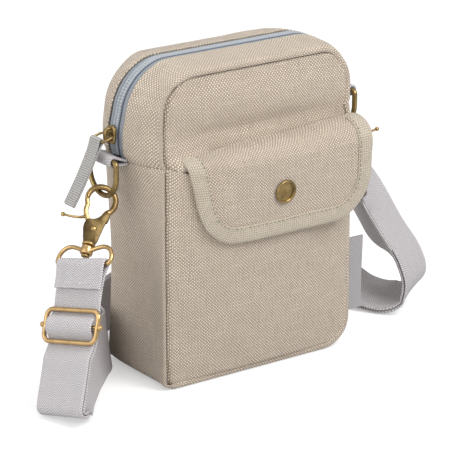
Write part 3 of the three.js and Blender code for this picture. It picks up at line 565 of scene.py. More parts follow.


# Each linen's third colour is painted shade for the sunk gaps of its weave; the webbing's dark colour is its
# own tone and painted shade where its pattern is sunk
looks = {
    "linen": linenLook("naturalLinen", (1.0, 0.86, 0.71, 1), (0.43, 0.35, 0.268, 1), (0.075, 0.055, 0.038, 1),
                       pitch=1.08, turn=0, wander=1.6),
    "binding": linenLook("biasLinen", (0.86, 0.77, 0.63, 1), (0.52, 0.445, 0.345, 1), (0.10, 0.08, 0.058, 1),
                         pitch=1.15, turn=45, wander=0.3),
    "webbing": tapeLook("paleWebbing", (0.62, 0.59, 0.602, 1), (0.24, 0.228, 0.237, 1), 0.0004, "herringbone",
                        rough=0.8, power=1.6, toneBy=0.25, sunkShadeBy=1.0, Pitch=1.5, Column=4.75, Lean=0.7),
}
# In each tape the dark colour is reached both by its own tone and by painted shade where its ribs are sunk
ribbedTapes = {  # material's name, light and dark colour, rib pitch in mm, bump in metres, own roughness
    "pullTape": ("ribbedTape", (0.43, 0.415, 0.402, 1), (0.13, 0.124, 0.121, 1), 1.45, 0.0004),
    "label": ("labelTape", (0.36, 0.345, 0.35, 1), (0.20, 0.19, 0.195, 1), 1.1, 0.00015),
    "zipTape": ("zipTape", (0.27, 0.295, 0.325, 1), (0.155, 0.172, 0.192, 1), 0.8, 0.00015),
    "zipCoil": ("zipCoil", (0.37, 0.40, 0.43, 1), (0.14, 0.157, 0.177, 1), 1.5, 0.0001, 0.45),
    # the cords' dark colour is partly the zip's own darker edge and partly painted shade of the grooves
    # beside the coil
    "zipCord": ("zipCord", (0.10, 0.125, 0.165, 1), (0.06, 0.075, 0.10, 1), 0.9, 0.0001),
    "thread": ("linenThread", (0.55, 0.47, 0.36, 1), (0.30, 0.25, 0.185, 1), 0.3, 0.00005),
    # the binding's stitch thread: dark thread, darkened further as painted shadow along the binding's
    # stitched edge
    "seamThread": ("seamThread", (0.27, 0.215, 0.155, 1), (0.16, 0.125, 0.09, 1), 0.3, 0.00005),
    "paleThread": ("paleThread", (0.62, 0.60, 0.62, 1), (0.42, 0.41, 0.43, 1), 0.3, 0.00005),
}
for key, (name, light, dark, pitch, depth, *rough) in ribbedTapes.items():
    looks[key] = tapeLook(name, light, dark, depth, "rib", *rough, Pitch=pitch)
looks["brass"] = metalLook("antiqueBrass", (0.33, 0.235, 0.10, 1), (0.06, 0.036, 0.016, 1),
                           roughness=0.33, amount=0.75)
# Clasp brass: its first colour is painted shade, a dark copy for the hook's cheeks, and its painted light
# colour a lit copy for the wire, rivets, stem and lever
looks["claspBrass"] = metalLook("claspBrass", (0.095, 0.065, 0.028, 1), (0.03, 0.018, 0.009, 1),
                                roughness=0.36, amount=0.8, paintedLightColour=(0.50, 0.345, 0.15, 1))
looks["goldBrass"] = metalLook("brightBrass", (0.58, 0.39, 0.18, 1), (0.20, 0.12, 0.05, 1),
                               roughness=0.28, amount=0.5)
print("finishes ready:", ", ".join(looks))


def addLinen(name, node, part):
    return makePiece(name, [part], "linen", [node])


def addMetal(name, node, parts, place, look, body="bag", crease=40):
    parts = [(placed(grid, place), cut) for grid, cut in parts]
    return makePiece(name, parts, look, [node], body, crease)


# Body: one rounded outline seen from the front, with a gusset round it

body = {"half": 72.5, "tall": 200, "deep": 66, "front": -31.5, "topCorner": 24, "lowLeft": 7, "lowRight": 20,
        "cloth": 1.4, "gap": 0.3, "step": 1.6, "seamLeft": 146, "seamRight": 163, "seamGap": 0.15,
        "lip": 2.6, "leftLip": 1.4, "lipAt": -33.3, "lipBack": 1.7, "lipPush": 2.2, "backPush": 0.5,
        "pushReach": 9, "rightFlat": 0.75, "slack": 0.9, "endTuck": 1.5, "endReach": 3.2, "panelInset": 1.4,
        "panelLow": 3.3, "leanFrom": 14, "liftFrom": 120, "liftFront": 3.7, "liftFall": 1.7,
        "lipRise": (138, 20), "seamPull": 1.5, "pullRise": (8, 15), "pullFall": (165, 15),  # ramps by height
        "leftSide": (0.3, 0.6), "rightSide": (0.3, 0.5), "offFloor": (-0.9, 0.6)}  # ramps by the normal
# Tables by height: swell of the left and right sides, depth of the back seam, and lean of its left edge
swellLeft = [(0, 0), (12, 0.2), (80, -0.6), (115, 2), (135, 7), (150, 12), (162, 13), (175, 10.3), (188, 7),
             (197, 5), (200, 4.7)]
swellRight = [(0, 0), (12, 0.2), (80, 0), (115, 2), (135, 6), (150, 11), (162, 14), (175, 11.5), (188, 7.5),
              (197, 5.2), (200, 4.7)]
backSeam = [(0, 33), (40, 29), (80, 27), (120, 31), (155, 36.5), (200, 34)]
leanIn = [(0, 1.5), (120, 1.5), (150, 4.5), (165, 8), (180, 10), (200, 10.5)]
half, bodyTall, topCorner = body["half"], body["tall"], body["topCorner"]
lowLeft, lowRight, high = body["lowLeft"], body["lowRight"], bodyTall - topCorner

# Outline, up the left side and round clockwise; lines hold start and heading, arcs centre, radius and angle
runs = np.array([
    (0, -half, lowLeft, 0, 1, high - lowLeft),
    (1, -half + topCorner, high, topCorner, 180, topCorner * np.pi / 2),
    (0, -half + topCorner, bodyTall, 1, 0, 2 * (half - topCorner)),
    (1, half - topCorner, high, topCorner, 90, topCorner * np.pi / 2),
    (0, half, high, 0, -1, high - lowRight),
    (1, half - lowRight, lowRight, lowRight, 0, lowRight * np.pi / 2),
    (0, half - lowRight, 0, -1, 0, 2 * half - lowRight - lowLeft),
    (1, -half + lowLeft, lowLeft, lowLeft, -90, lowLeft * np.pi / 2),
])
runStart = np.concatenate([[0], np.cumsum(runs[:, 5])])
outlineLong = runStart[-1]
leftSeam = body["seamLeft"] - lowLeft
rightSeam = runStart[4] + high - body["seamRight"]


# Point and outward normal of the outline at a distance along it: straight runs, and quarter circles between
def outlineAt(s):
    d = np.mod(s, outlineLong)
    i = np.clip(np.searchsorted(runStart, d, side="right") - 1, 0, len(runs) - 1)
    kind, a, b, p, q = (runs[i, k] for k in range(5))
    d = d - runStart[i]
    angle = np.radians(q) - d / np.maximum(p, 1e-6)
    arcs = kind > 0.5
    x = np.where(arcs, a + p * np.cos(angle), a + p * d)
    z = np.where(arcs, b + p * np.sin(angle), b + q * d)
    return x, z, np.where(arcs, np.cos(angle), -q), np.where(arcs, np.sin(angle), p)


def backEdge(z):  # depth of the back seam: its table by height
    return tableAt(backSeam, z)


# The top stands higher than its outline by the square of the height over a level, most at the front
def topLift(y, z):
    most = body["liftFront"] - body["liftFall"] * (y - body["front"]) / body["deep"]
    return most * np.maximum(0, (z - body["liftFrom"]) / (bodyTall - body["liftFrom"])) ** 2


# Lean of the back to the right: by height, as the square of the depth behind the zip, fading to the middle
def leanAt(x, y, z):
    back = np.clip((y - body["leanFrom"]) / (backEdge(z) - body["leanFrom"]), 0, 1)
    return tableAt(leanIn, z) * np.clip(-x / half, 0, 1) * back ** 2


# Gusset: the outline pushed out along its normal by a swell that is full midway between the seams and falls
# to nothing at them as a power of one minus the square of the depth, plus the height off
def gussetPoint(s, y, off):
    x, z, nx, nz = outlineAt(s)
    middle = (body["front"] + backEdge(z)) / 2
    across = (y - middle) / (backEdge(z) - middle)
    swell = np.where(x < 0, tableAt(swellLeft, z), tableAt(swellRight, z))
    out = swell * np.maximum(0, 1 - across ** 2) ** 0.85 + off
    return stacked(x + nx * out + leanAt(x, y, z), y, z + nz * out + topLift(y, z))


def leftSeamPull(z):  # how far the left front seam is drawn round the corner, along its straight part
    return body["seamPull"] * ramp(z, *body["pullRise"]) * (1 - ramp(z, *body["pullFall"]))


def lipFront(z):  # depth where the front edge starts to roll over, further forward beside the pocket
    return body["lipAt"] + body["lipBack"] * ramp(z, *body["lipRise"])


# Rolled lip, as depth and height of its outer and inner face: a circle from under the edge to its crest
def lipRows(at, sign, r):
    inner = np.maximum(r - body["cloth"], 0.25)
    a = np.radians(np.linspace(132, 0, 10))
    outer = at + sign * r * np.sin(a), -r * (1 - np.cos(a))
    return stacked(*outer, at + sign * inner * np.sin(a), -r + inner * np.cos(a))


def foldRows(at, sign):  # folded edge: a half circle of the cloth's thickness
    t = body["cloth"]
    a = np.radians(np.linspace(82, 0, 6))
    y = at + sign * t / 2 * np.sin(a)
    return stacked(y, -t / 2 * (1 - np.cos(a)), y, -t / 2 * (1 + np.cos(a)))


# Strip of the gusset between two seam ends: columns roll round the front lip or start in a folded edge, cross
# the depth with slack waves and end in the back lip or a folded edge; the lips puff out, less and less away
# from the seams, little on the right and not underneath, and each end of the strip tucks in toward its seam
def gussetStrip(start, stop, front, back, columns, phase):
    s = np.linspace(start, stop, int((stop - start) / body["step"]))[:, None]
    _, z, nx, nz = outlineAt(s)
    t = body["cloth"]
    slim = body["lip"] - (body["lip"] - body["leftLip"]) * ramp(-nx, *body["leftSide"])
    low = lipFront(z) if front is None else front + t / 2 + 0 * z
    top = backEdge(z) + 0.2 if back is None else back - t / 2 + 0 * z
    lead = lipRows(low, -1, slim) if front is None else foldRows(low, -1)
    tail = lipRows(top, 1, body["lip"]) if back is None else foldRows(top, 1)
    across = np.linspace(0, 1, columns + 2)[1:-1]
    middle = low + (top - low) * across
    free = ramp(nz, *body["offFloor"])
    sag = slack(s, middle, body["slack"], phase) * free * np.sin(np.pi * across) ** 0.7
    field = stacked(middle, sag, middle, sag - t)
    y, outer, yIn, inner = np.moveaxis(np.concatenate([lead, field, tail[:, ::-1]], 1), -1, 0)
    puff = 0.0
    if front is None:
        puff = puff + body["lipPush"] * np.exp(-np.maximum(0, y - low) / body["pushReach"])
    if back is None:
        puff = puff + body["backPush"] * np.exp(-np.maximum(0, top - y) / body["pushReach"])
    puff = puff * free * (1 - body["rightFlat"] * ramp(nx, *body["rightSide"]))
    tuck = body["endTuck"] * (1 - smoothStep(np.minimum(s - start, stop - s) / body["endReach"]))
    along = np.cumsum(np.concatenate([[0], np.hypot(np.diff(y, axis=1), np.diff(outer, axis=1)).mean(0)]))
    faces = gussetPoint(s, y, outer + puff - tuck), gussetPoint(s, yIn, inner + puff - tuck)
    return wallPart(*faces, stacked(along, s))


zipper = {"front": -6, "back": 10, "tapeThick": 0.7, "toothPitch": 1.5, "coils": (0.55, 3.45),
          "coilHalf": 1.35, "cords": (-1.35, 5.35), "cordThick": 0.42, "sunk": -0.95,
          "stitchLift": 0.12, "stitchIn": 1.4, "stitchGap": 3.0}
seamGap = body["seamGap"]
zipFrom, zipTo = leftSeam + seamGap, rightSeam - seamGap
addLinen("sideGusset", "side_gusset",
         gussetStrip(rightSeam + seamGap, outlineLong + leftSeam - seamGap, None, None, 30, 0.4))
addLinen("zipGussetFront", "zip_gusset_front",
         gussetStrip(zipFrom, zipTo, None, zipper["front"] - seamGap, 14, 1.3))
addLinen("zipGussetBack", "zip_gusset_back",
         gussetStrip(zipFrom, zipTo, zipper["back"] + seamGap, None, 14, 2.1))

# Zip tape: a thin band from under the folded linen to a dip beside the coil; rows are depth from the linen
# edge and height off the gusset
tapeRows = np.array([(-1.7, -1.95), (-0.3, -1.9), (0.4, -1.4), (1.0, -1.05), (2.0, -0.9), (3.1, -0.85),
                     (3.7, -0.9), (4.2, -1.15), (4.6, -1.6)])
for side, sign in (("front", 1), ("back", -1)):
    s = np.linspace(zipFrom - 1, zipTo + 1, 190)[:, None]
    line = smoothLine(20, tapeRows)
    y, top = zipper[side] + sign * line[:, 0] + 0 * s, line[:, 1] + 0 * s
    faces = gussetPoint(s, y, top), gussetPoint(s, y, top - zipper["tapeThick"])
    tape = wallPart(*faces, stacked(s, line[:, 0]))
    makePiece("zipTape" + side.capitalize(), [tape], "zipTape", ["zip_tape_" + side])


# Round band along the zip: rings of depth and height off the gusset, both ends shut at the ring's middle
def zipBand(s, y, off, a):
    grid = gussetPoint(s, y + 0 * s, off + 0 * s)
    grid[:, -1] = grid[:, 0]
    ends = [np.broadcast_to(grid[k].mean(0), grid[:1].shape) for k in (0, -1)]
    return np.concatenate([ends[0], grid, ends[1]]), stacked(np.concatenate([s[:1], s, s[-1:]]), a)


# Coil: a half-round band whose height beats with a sine along the zip, one tooth to a beat
def coilBand(middle, phase):
    s = np.arange(zipFrom + 3, zipTo - 3, zipper["toothPitch"] / 5)[:, None]
    a = np.radians(np.linspace(0, 360, 21))
    beat = 0.8 + 0.2 * np.abs(np.sin(np.pi * (s / zipper["toothPitch"] + phase)))
    off = zipper["sunk"] + np.where(np.sin(a) > 0, 1.3 * beat, 0.55) * np.sin(a)
    return zipBand(s, middle + zipper["coilHalf"] * np.cos(a), off, a)


# The cords lie in the grooves beside the coil; their dark colour is partly the zip's own and partly painted
# shade
def zipCord(middle):  # round cord: a circle swept along the zip
    s = np.linspace(zipFrom + 1, zipTo - 1, 240)[:, None]
    a = np.radians(np.linspace(0, 360, 11))
    r = zipper["cordThick"]
    return zipBand(s, middle + r * np.cos(a), zipper["sunk"] + r * np.sin(a), a)


coils = [coilBand(middle, phase) for middle, phase in zip(zipper["coils"], (0.0, 0.5))]
makePiece("zipCoil", coils, "zipCoil", ["zip_coil"])
makePiece("zipCords", [zipCord(middle) for middle in zipper["cords"]], "zipCord")

# Panels

panel = {"columns": 100, "tuck": 3.4, "reach": 2.0, "slackFrom": 12,  # how the cloth dives into its seams
         "levelRight": 2.6, "levelLow": 1.8, "levelTop": 0.7}  # mm added to the distance from level seams
frontForm = {"crown": 3, "crownFrom": 160, "cornerRise": (-71, 8), "cornerFall": (-47, 14),
             "dent": (2.4, 162, 5), "fill": (7.5, 145.8, 5.5)}  # bell curves: size, height and width
backCrown = 4
pocket = {"mouth": 148, "dip": 7, "swell": [(0, 0.5), (6, 3), (60, 9), (110, 14), (148, 16.5)]}
frontFace = body["front"] - body["gap"] - body["cloth"]
pocketFace = frontFace - body["gap"] - body["cloth"]


# Left or right limit of the outline moved in by an inset, at a height: the corners keep their centres
def insetSide(z, inset, corner):
    low, top = corner - inset, topCorner - inset
    down = np.clip(corner - z, 0, low)
    up = np.clip(z - high, 0, top)
    return half - inset - (low - np.sqrt(low ** 2 - down ** 2)) - (top - np.sqrt(top ** 2 - up ** 2))


# Places of a panel from its low edge up to top, and their distance from its seams; a mouth has none on top
def panelGrid(top, rows, pull, mouth=False):
    inset = body["panelInset"]
    zs = (body["panelLow"] + (top - body["panelLow"]) * spread(rows))[:, None]
    left = -insetSide(zs, inset, lowLeft) - pull * leftSeamPull(zs)
    right = insetSide(zs, inset, lowRight)
    x = left + (right - left) * spread(panel["columns"])
    z = np.broadcast_to(zs, x.shape)
    edge = np.minimum(x - left, right - x + panel["levelRight"])
    edge = np.minimum(edge, z - body["panelLow"] + panel["levelLow"])
    return x, z, edge if mouth else np.minimum(edge, top - z + panel["levelTop"])


# Depth the cloth adds to a panel's form: a bell curve of the distance from its seam, less slack away from it
def panelCloth(x, z, edge, amount, phase):
    dive = panel["tuck"] * np.exp(-(edge / panel["reach"]) ** 2)
    return dive - slack(x, z, amount, phase) * smoothStep(edge / panel["slackFrom"])


def addPanel(name, node, outer, side, cut):  # its inner face is the outer one moved in depth by the cloth
    addLinen(name, node, wallPart(outer, outer + [0, side * body["cloth"], 0], cut))


# Front panel: a crown above the flap as a squared sine of height, a dent along the flap's seam as a bell
# curve, and a fold that fills the corner under the flap's left end
def frontDepth(x, z):
    across = np.maximum(0, 1 - (x / half) ** 2)
    start = frontForm["crownFrom"]
    crown = np.where(z > start, np.sin(np.pi * (z - start) / (bodyTall - start)) ** 2, 0)
    dent, fill = (bell(z, *frontForm[name]) for name in ("dent", "fill"))
    corner = ramp(x, *frontForm["cornerRise"]) * (1 - ramp(x, *frontForm["cornerFall"]))
    return frontFace - fill * corner - across * (frontForm["crown"] * crown - dent)


# Back panel: its crown is a squared sine in height and a parabola in width behind the back seam
def backDepth(x, z):
    across = np.maximum(0, 1 - (x / half) ** 2)
    return backEdge(z) + body["gap"] + body["cloth"] + backCrown * across * np.sin(np.pi * z / bodyTall) ** 2


# Pocket: stands forward by its swell at that height, times a rounded power of the distance from the middle
def pocketDepth(x, z):
    limit = np.where(x < 0, insetSide(z, 0, lowLeft), insetSide(z, 0, lowRight))
    across = np.maximum(0, 1 - np.abs(x / np.maximum(limit, 1)) ** 2.2)
    return pocketFace - tableAt(pocket["swell"], z) * across ** 0.9


x, z, edge = panelGrid(bodyTall - body["panelInset"], 140, 1)
y = frontDepth(x, z) + panelCloth(x, z, edge, 0.8, 0.7)
addPanel("frontPanel", "front_panel", stacked(x, y, z + topLift(body["front"], z)), 1, stacked(x, z))

x, z, edge = panelGrid(bodyTall - body["panelInset"], 140, 0)
y = backDepth(x, z) - panelCloth(x, z, edge, 0.8, 2.9)
outer = stacked(x + leanAt(x, backEdge(z), z), y, z + topLift(backEdge(z), z))
addPanel("backPanel", "back_panel", outer, -1, stacked(x, z))

x, z, edge = panelGrid(pocket["mouth"], 110, 1, mouth=True)
y = pocketDepth(x, z) + panelCloth(x, z, edge, 0.9, 0.2)
drop = pocket["dip"] * (z / pocket["mouth"]) ** 4 * (1 - np.abs(x / half) ** 6)
addPanel("pocketPanel", "pocket_panel", stacked(x, y, z - drop), 1, stacked(x, z))
print("body sewn")

# Flap with its bound edge and snap

flap = {"middle": 6.5, "half": 67.5, "low": 95, "corner": 29, "fold": 143, "top": 165, "thick": 1.8,
        "level": 12, "seam": 154.5, "seamRise": 3.5, "hang": 3.0, "flare": 0.6, "taper": 7, "taperFrom": 158,
        "taperOver": 45, "soft": 0.35, "bindTop": 162, "stitchIn": 8.9, "stitchGap": 3.1, "pucker": 0.4}


# Flap by width and height: below the fold it hangs on the pocket's swell, above it a parabola in depth and
# height carries it back to its seam in the front panel; its left side tapers in below the fold
def flapBase(x, h):
    taper = flap["taper"] * smoothStep((flap["taperFrom"] - h) / flap["taperOver"])
    x = x + taper * np.clip((flap["middle"] - x) / flap["half"], 0, 1)
    near, fold = np.minimum(x, flap["level"]), flap["fold"]
    hang = lambda z: pocketDepth(near, z) - flap["hang"] - flap["flare"] * (fold - z) / (fold - flap["low"])
    t = np.clip((h - fold) / (flap["top"] - fold), 0, 1)
    edge = hang(np.full_like(x, fold))
    seam = flap["seam"] + flap["seamRise"] * (x - flap["middle"]) / flap["half"]
    y = np.where(h <= fold, hang(np.minimum(h, fold)), edge + (frontFace - 0.3 - edge) * t * t)
    z = np.where(h <= fold, h, fold + (seam - fold) * (2 * t - t * t))
    return stacked(x, y, z)


# Flap's surface moved off along its normal, the cross product of its slopes in width and height
def flapPoint(x, h, off):
    x, h, off = (np.array(v, float) for v in np.broadcast_arrays(x, h, off))
    wide = flapBase(x + 0.5, h) - flapBase(x - 0.5, h)
    rise = flapBase(x, np.minimum(h + 0.5, flap["top"])) - flapBase(x, h - 0.5)
    return flapBase(x, h) + unit(np.cross(wide, rise)) * off[..., None]


def flapSlack(x, h):
    return slack(x, h, flap["soft"], 1.9)


def flapReach(h):  # half width by height: straight sides, and quarter circles at the corners
    low = np.clip(flap["low"] + flap["corner"] - h, 0, flap["corner"])
    return flap["half"] - flap["corner"] + np.sqrt(flap["corner"] ** 2 - low ** 2)


h = flap["low"] + (flap["top"] - flap["low"]) * spread(90)[:, None]
x = flap["middle"] + flapReach(h) * np.linspace(-1, 1, 90)
h = np.broadcast_to(h, x.shape)
soft = flapSlack(x, h)
flapPiece = addLinen("pocketFlap", "pocket_flap",
                     wallPart(flapPoint(x, h, soft), flapPoint(x, h, soft - flap["thick"]), stacked(x, h)))


# Line round the flap's free edge, moved in by an inset: down the right side, round the corners, up the left
def bindingLine(inset):
    reach, rise = flap["half"] - flap["corner"], flap["low"] + flap["corner"]
    side = stacked(flap["half"] - inset, np.linspace(flap["bindTop"], rise, 50))
    turn = ringArc(reach, rise, flap["corner"] - inset, 0, -90, 50)[1:]
    low = stacked(np.linspace(reach, -reach, 80), flap["low"] + inset)[1:]
    right = np.concatenate([side, turn])
    left = right[::-1] * [-1, 1]
    return np.concatenate([right, low, left[1:]]) + [flap["middle"], 0]


# Binding section: inset from the flap's edge and height off its face, over the edge and onto the back
bindFace = [(10, 0.2), (9.8, 0.95), (9.2, 1.2), (7, 1.35), (4, 1.5), (1.2, 1.3), (-0.5, 0.7), (-1, 0),
            (-1.05, -0.9), (-0.9, -1.9), (-0.2, -2.55), (1.2, -2.7), (5, -2.65), (8.2, -2.5)]
bindBack = [(10, 0.05), (9.6, 0.06), (8.6, 0.08), (7, 0.1), (4, 0.1), (1.2, 0.1), (0.4, 0.05), (0.1, -0.3),
            (0.05, -0.9), (0.1, -1.5), (0.4, -1.86), (1.2, -1.9), (5, -1.9), (8.2, -1.9)]


# The bound face puckers as a sum of two sines along it, most at its stitched edge
def bindingSide(section, pucker=0.0):
    section = smoothLine(40, section)
    line = np.stack([bindingLine(k) for k in section[:, 0]], 1)
    along = lengthsAlong(line[:, 20])[:, None]
    wave = 0.6 * np.sin(along / 1.9) + 0.4 * np.sin(along / 1.13 + 1)
    rise = section[:, 1] + pucker * wave * np.exp(-((section[:, 0] - 6.5) / 3.2) ** 2) * (section[:, 1] > 0.5)
    return flapPoint(line[..., 0], line[..., 1], rise + flapSlack(line[..., 0], line[..., 1]))


outer, inner = bindingSide(bindFace, flap["pucker"]), bindingSide(bindBack)
cut = stacked(lengthsAlong(outer[:, 18])[:, None], np.linspace(0, 26, 40))
bindingPiece = makePiece("flapBinding", [wallPart(outer, inner, cut)], "binding",
                         ["flap_binding"])


def bindingSeam(k):  # stitching line on the binding and the way out of its face
    x, h = bindingLine(k).T
    soft = flapSlack(x, h)
    on = flapPoint(x, h, soft + 1.3)
    return on, flapPoint(x, h, soft + 3) - on


def zipSeam(y):  # stitching line on the gusset at a depth and the way out of its face
    s = np.linspace(zipFrom + 2, zipTo - 2, 300)
    on = gussetPoint(s, y, zipper["stitchLift"])
    return on, gussetPoint(s, y, zipper["stitchLift"] + 3) - on


# the binding's stitches carry a dark colour that is partly the thread's own and partly painted shadow along
# the binding's inner edge
stitchPiece = makePiece("bindingStitches", [stitchPart(*bindingSeam(flap["stitchIn"]), flap["stitchGap"])],
                        "seamThread")
zipRows = [stitchPart(*zipSeam(zipper[side] + sign * zipper["stitchIn"]), zipper["stitchGap"])
           for side, sign in (("front", -1), ("back", 1))]
makePiece("zipStitches", zipRows, "thread")

snap = {"x": 5.5, "h": 123, "radius": 7.8, "rim": 0.95, "dish": 0.85, "dome": 0.55}
at = snap["x"], snap["h"]
capOut = flapPoint(*at, 5.0) - flapPoint(*at, 0.0)
capPlace = frameAt(flapPoint(*at, flapSlack(*at) + 0.25), capOut, (0, 0, 1))
rim = ringArc(snap["radius"] - 1.0, 1.05, snap["rim"], -60, 190, 16)
dome = stacked(np.linspace(snap["radius"] - 2.7, 0, 12),
               snap["dish"] + snap["dome"] * np.sqrt(np.linspace(0.02, 1, 12)))
capLine = np.concatenate([[(0, 0), (snap["radius"] - 0.8, 0)], rim,
                          [(snap["radius"] - 2.3, snap["dish"])], dome])
capPiece = addMetal("snapCap", "snap_cap", [turnedPart(capLine, 56)], capPlace, "brass", crease=60)
print("flap bound and snapped")

# Shoulder strap

strap = {"wide": 38, "thick": 1.8, "layer": 1.1, "barWire": 1.4, "barDrop": 43.1, "buckleAt": 39.5,
         "foldRadius": 3.2, "foldTurn": 155, "step": 1.5, "edge": 0.45, "leave": 8, "landing": 30,
         "headStep": 1.4, "pastEnd": 20, "slantRise": (-5, 4), "slantTo": 130, "slantFade": 40,
         "openBy": 37.5, "openTo": 112, "openFade": 62, "openRise": (9, 20), "openLift": 0.6}
hooks = {"left": {"at": (-95, 2.5, 121), "facing": (-0.5, -0.85, 0.1)},
         "right": {"at": (93, 1, 137.5), "facing": (0.45, 0.88, 0.1)}}
# Ribbon past its fold on the floor: its middle, then the way from its near or lower edge to the other
strapRun = np.array([
    (-138.4, -25.9, 13.8, -0.42, 0.68, 0.61), (-120, -10, 18.1, -0.38, 0.36, 0.85),
    (-99, 5.8, 20.2, -0.2, 0.2, 0.96), (-83, 19, 20.6, -0.08, 0.08, 0.99),
    (-77, 40, 20.3, 0, 0, 1), (-64, 60, 20.3, 0, 0, 1), (-30, 83, 20.3, 0, 0, 1),
    (20, 95, 20.3, 0, 0.05, 1), (75, 80, 20.3, 0.1, 0.2, 0.97), (112, 48, 17, 0.45, 0.5, 0.75),
    (129, 19, 7.6, 0.67, 0.7, 0.25), (139, 1.5, 7.2, 0.79, 0.58, 0.22), (146, -6, 12, 0.84, 0.53, 0.14),
    (149, -10, 22, 0.87, 0.49, 0.04), (146, -7, 38, 0.87, 0.49, 0), (138, 3, 58, 0.85, 0.52, 0),
    (130, 12, 78, 0.76, 0.56, 0.2), (122, 13, 91, 0.66, 0.66, 0.32)])
strapStart = np.array((-120, -13.7, 88.5, -0.22, 0.97, -0.04))
strapFold = np.array((-153.7, -38.7, 10.3, -0.24, 0.95, -0.12))
strapEnd = np.array((115.5, 10, 102.5, 0.55, 0.77, 0.33))
leftHook, rightHook = (np.array(hooks[k]["at"], float) for k in ("left", "right"))
leftBar = leftHook + unit(strapStart[:3] - leftHook) * strap["barDrop"]
rightBar = rightHook + unit(strapEnd[:3] - rightHook) * strap["barDrop"]


# Curve through points: between two of them a cubic whose end slopes weigh powers of the gaps on both sides
def throughPoints(points, count, power):
    rows = np.vstack([2 * points[0] - points[1], points, 2 * points[-1] - points[-2]])
    at = np.linspace(0, len(points) - 1, count)
    i = np.minimum(at.astype(int), len(points) - 2)
    t = (at - i)[:, None]
    a, b, c, d = (rows[i + k] for k in range(4))
    ab, bc, cd = (np.sum((p - q) ** 2, 1, keepdims=True) ** power for p, q in ((a, b), (b, c), (c, d)))
    leave = ((b - a) / ab - (c - a) / (ab + bc) + (c - b) / bc) * bc
    reach = ((c - b) / bc - (d - b) / (bc + cd) + (d - c) / cd) * bc
    return (((2 * (b - c) + leave + reach) * t + 3 * (c - b) - 2 * leave - reach) * t + leave) * t + b


# Ribbon: a cubic drop from the left bar, a round fold on the floor, a curve through the run to the right bar
def ribbonLine():
    fold, w = strapFold[:3], unit(strapFold[3:])
    leave = leftBar + unit(leftBar - leftHook) * strap["leave"]
    down = unit(fold - leave)
    axis = unit(w - down * np.dot(w, down))
    t = np.linspace(0, 1, 240)[:, None]
    near = fold - down * strap["landing"]
    drop = leftBar * (1 - t) ** 3 + 3 * leave * t * (1 - t) ** 2 + 3 * near * t * t * (1 - t) + fold * t ** 3
    dropWide = unit(unit(strapStart[3:]) * (1 - t) + axis * t)
    face = np.cross(axis, down)
    a = np.linspace(0, np.radians(strap["foldTurn"]), 90)[1:, None]
    turn = fold - face * strap["foldRadius"] * (1 - np.cos(a)) + down * strap["foldRadius"] * np.sin(a)
    arrive = rightBar + unit(rightBar - rightHook) * strap["leave"]
    run = throughPoints(np.vstack([turn[-1], strapRun[:, :3], arrive, rightBar]), 1201, 0.25)[1:]
    endWide = unit(strapEnd[3:])
    runWide = unit(throughPoints(np.vstack([axis, unit(strapRun[:, 3:]), endWide, endWide]), 1201, 0.0)[1:])
    line = np.vstack([drop, turn, run])
    wide = np.vstack([dropWide, np.broadcast_to(axis, turn.shape), runWide])
    return line, wide, len(drop) + len(turn)


ribbon, ribbonWide, foldCount = ribbonLine()
ribbonFar = lengthsAlong(ribbon)
foldEnd, ribbonLong = ribbonFar[foldCount - 1], ribbonFar[-1]
pastEnd = strap["pastEnd"]  # straight ends past both bars, which the webbing needs on its way round them
longFar = np.concatenate([[-pastEnd], ribbonFar, [ribbonLong + pastEnd]])
longLine = np.vstack([ribbon[0] - unit(ribbon[1] - ribbon[0]) * pastEnd, ribbon,
                      ribbon[-1] + unit(ribbon[-1] - ribbon[-2]) * pastEnd])
longWide = np.vstack([ribbonWide[0], ribbonWide, ribbonWide[-1]])


# Ribbon's middle, heading, width direction and outward face at distances along it; past the fold the width
# may lie slantwise to the heading
def ribbonFrame(s):
    step = strap["headStep"]
    a = np.clip(s - step / 2, 0, ribbonLong - step)
    t = unit(pickAt(a + step, longFar, longLine) - pickAt(a, longFar, longLine))
    w = pickAt(s, longFar, longWide)
    square = unit(w - t * np.sum(w * t, -1, keepdims=True))
    fade = smoothStep((foldEnd + strap["slantTo"] - s) / strap["slantFade"])
    slant = ramp(s - foldEnd, *strap["slantRise"]) * fade
    w = square + (w - square) * slant[:, None]
    return pickAt(s, longFar, longLine), t, w, unit(np.cross(w, t))


# The webbing by distance along the ribbon and height over it: from the sewn end round the left bar, through
# the buckle, along the outer layer, round the right bar and back along the inner layer
def webbingRoute():
    layer, at = strap["layer"], strap["buckleAt"]
    wrap = strap["barWire"] + 0.35 + strap["thick"] / 2
    behind, over = -1.7, 3.9
    lineTo = lambda a, b: stacked(np.linspace(a, b, 60), layer)
    far = ribbonLong - 9
    return np.concatenate([
        [(16, layer), (9, layer + 0.1)], ringArc(0, 0, wrap, 75, 285, 13), [(9, -layer - 0.1), (18, -layer)],
        [(at - 14, behind + 0.2), (at - 10, behind), (at - 7.5, behind + 0.9), (at - 3, over - 0.5)],
        [(at, over), (at + 3, over - 0.5), (at + 7.5, behind + 0.9), (at + 10, behind)],
        [(at + 14, behind + 1)], lineTo(at + 20, far), ringArc(0, 0, wrap, 105, -105, 13) + [ribbonLong, 0],
        lineTo(far, at + 20) * [1, -1],
        [(at + 14, behind - 1.3), (at + 10, behind - 2.2), (at + 5, behind - 2.0), (at + 1, behind - 1.6)]])


# Point and width direction of the webbing; on the right the inner layer opens about its near edge, by
# an angle that rises and falls along the strap
def onRibbon(route):
    s = route[:, 0]
    p, t, w, n = ribbonFrame(s)
    back = ribbonLong - s
    opening = smoothStep((strap["openTo"] - back) / strap["openFade"]) * ramp(back, *strap["openRise"])
    opening = opening * (route[:, 1] < -0.5)
    a = np.radians(strap["openBy"]) * opening[:, None]
    turned = w * np.cos(a) - n * np.sin(a)
    near = p - w * strap["wide"] / 2 + n * (route[:, 1] + strap["openLift"] * opening)[:, None]
    return near + turned * strap["wide"] / 2, turned


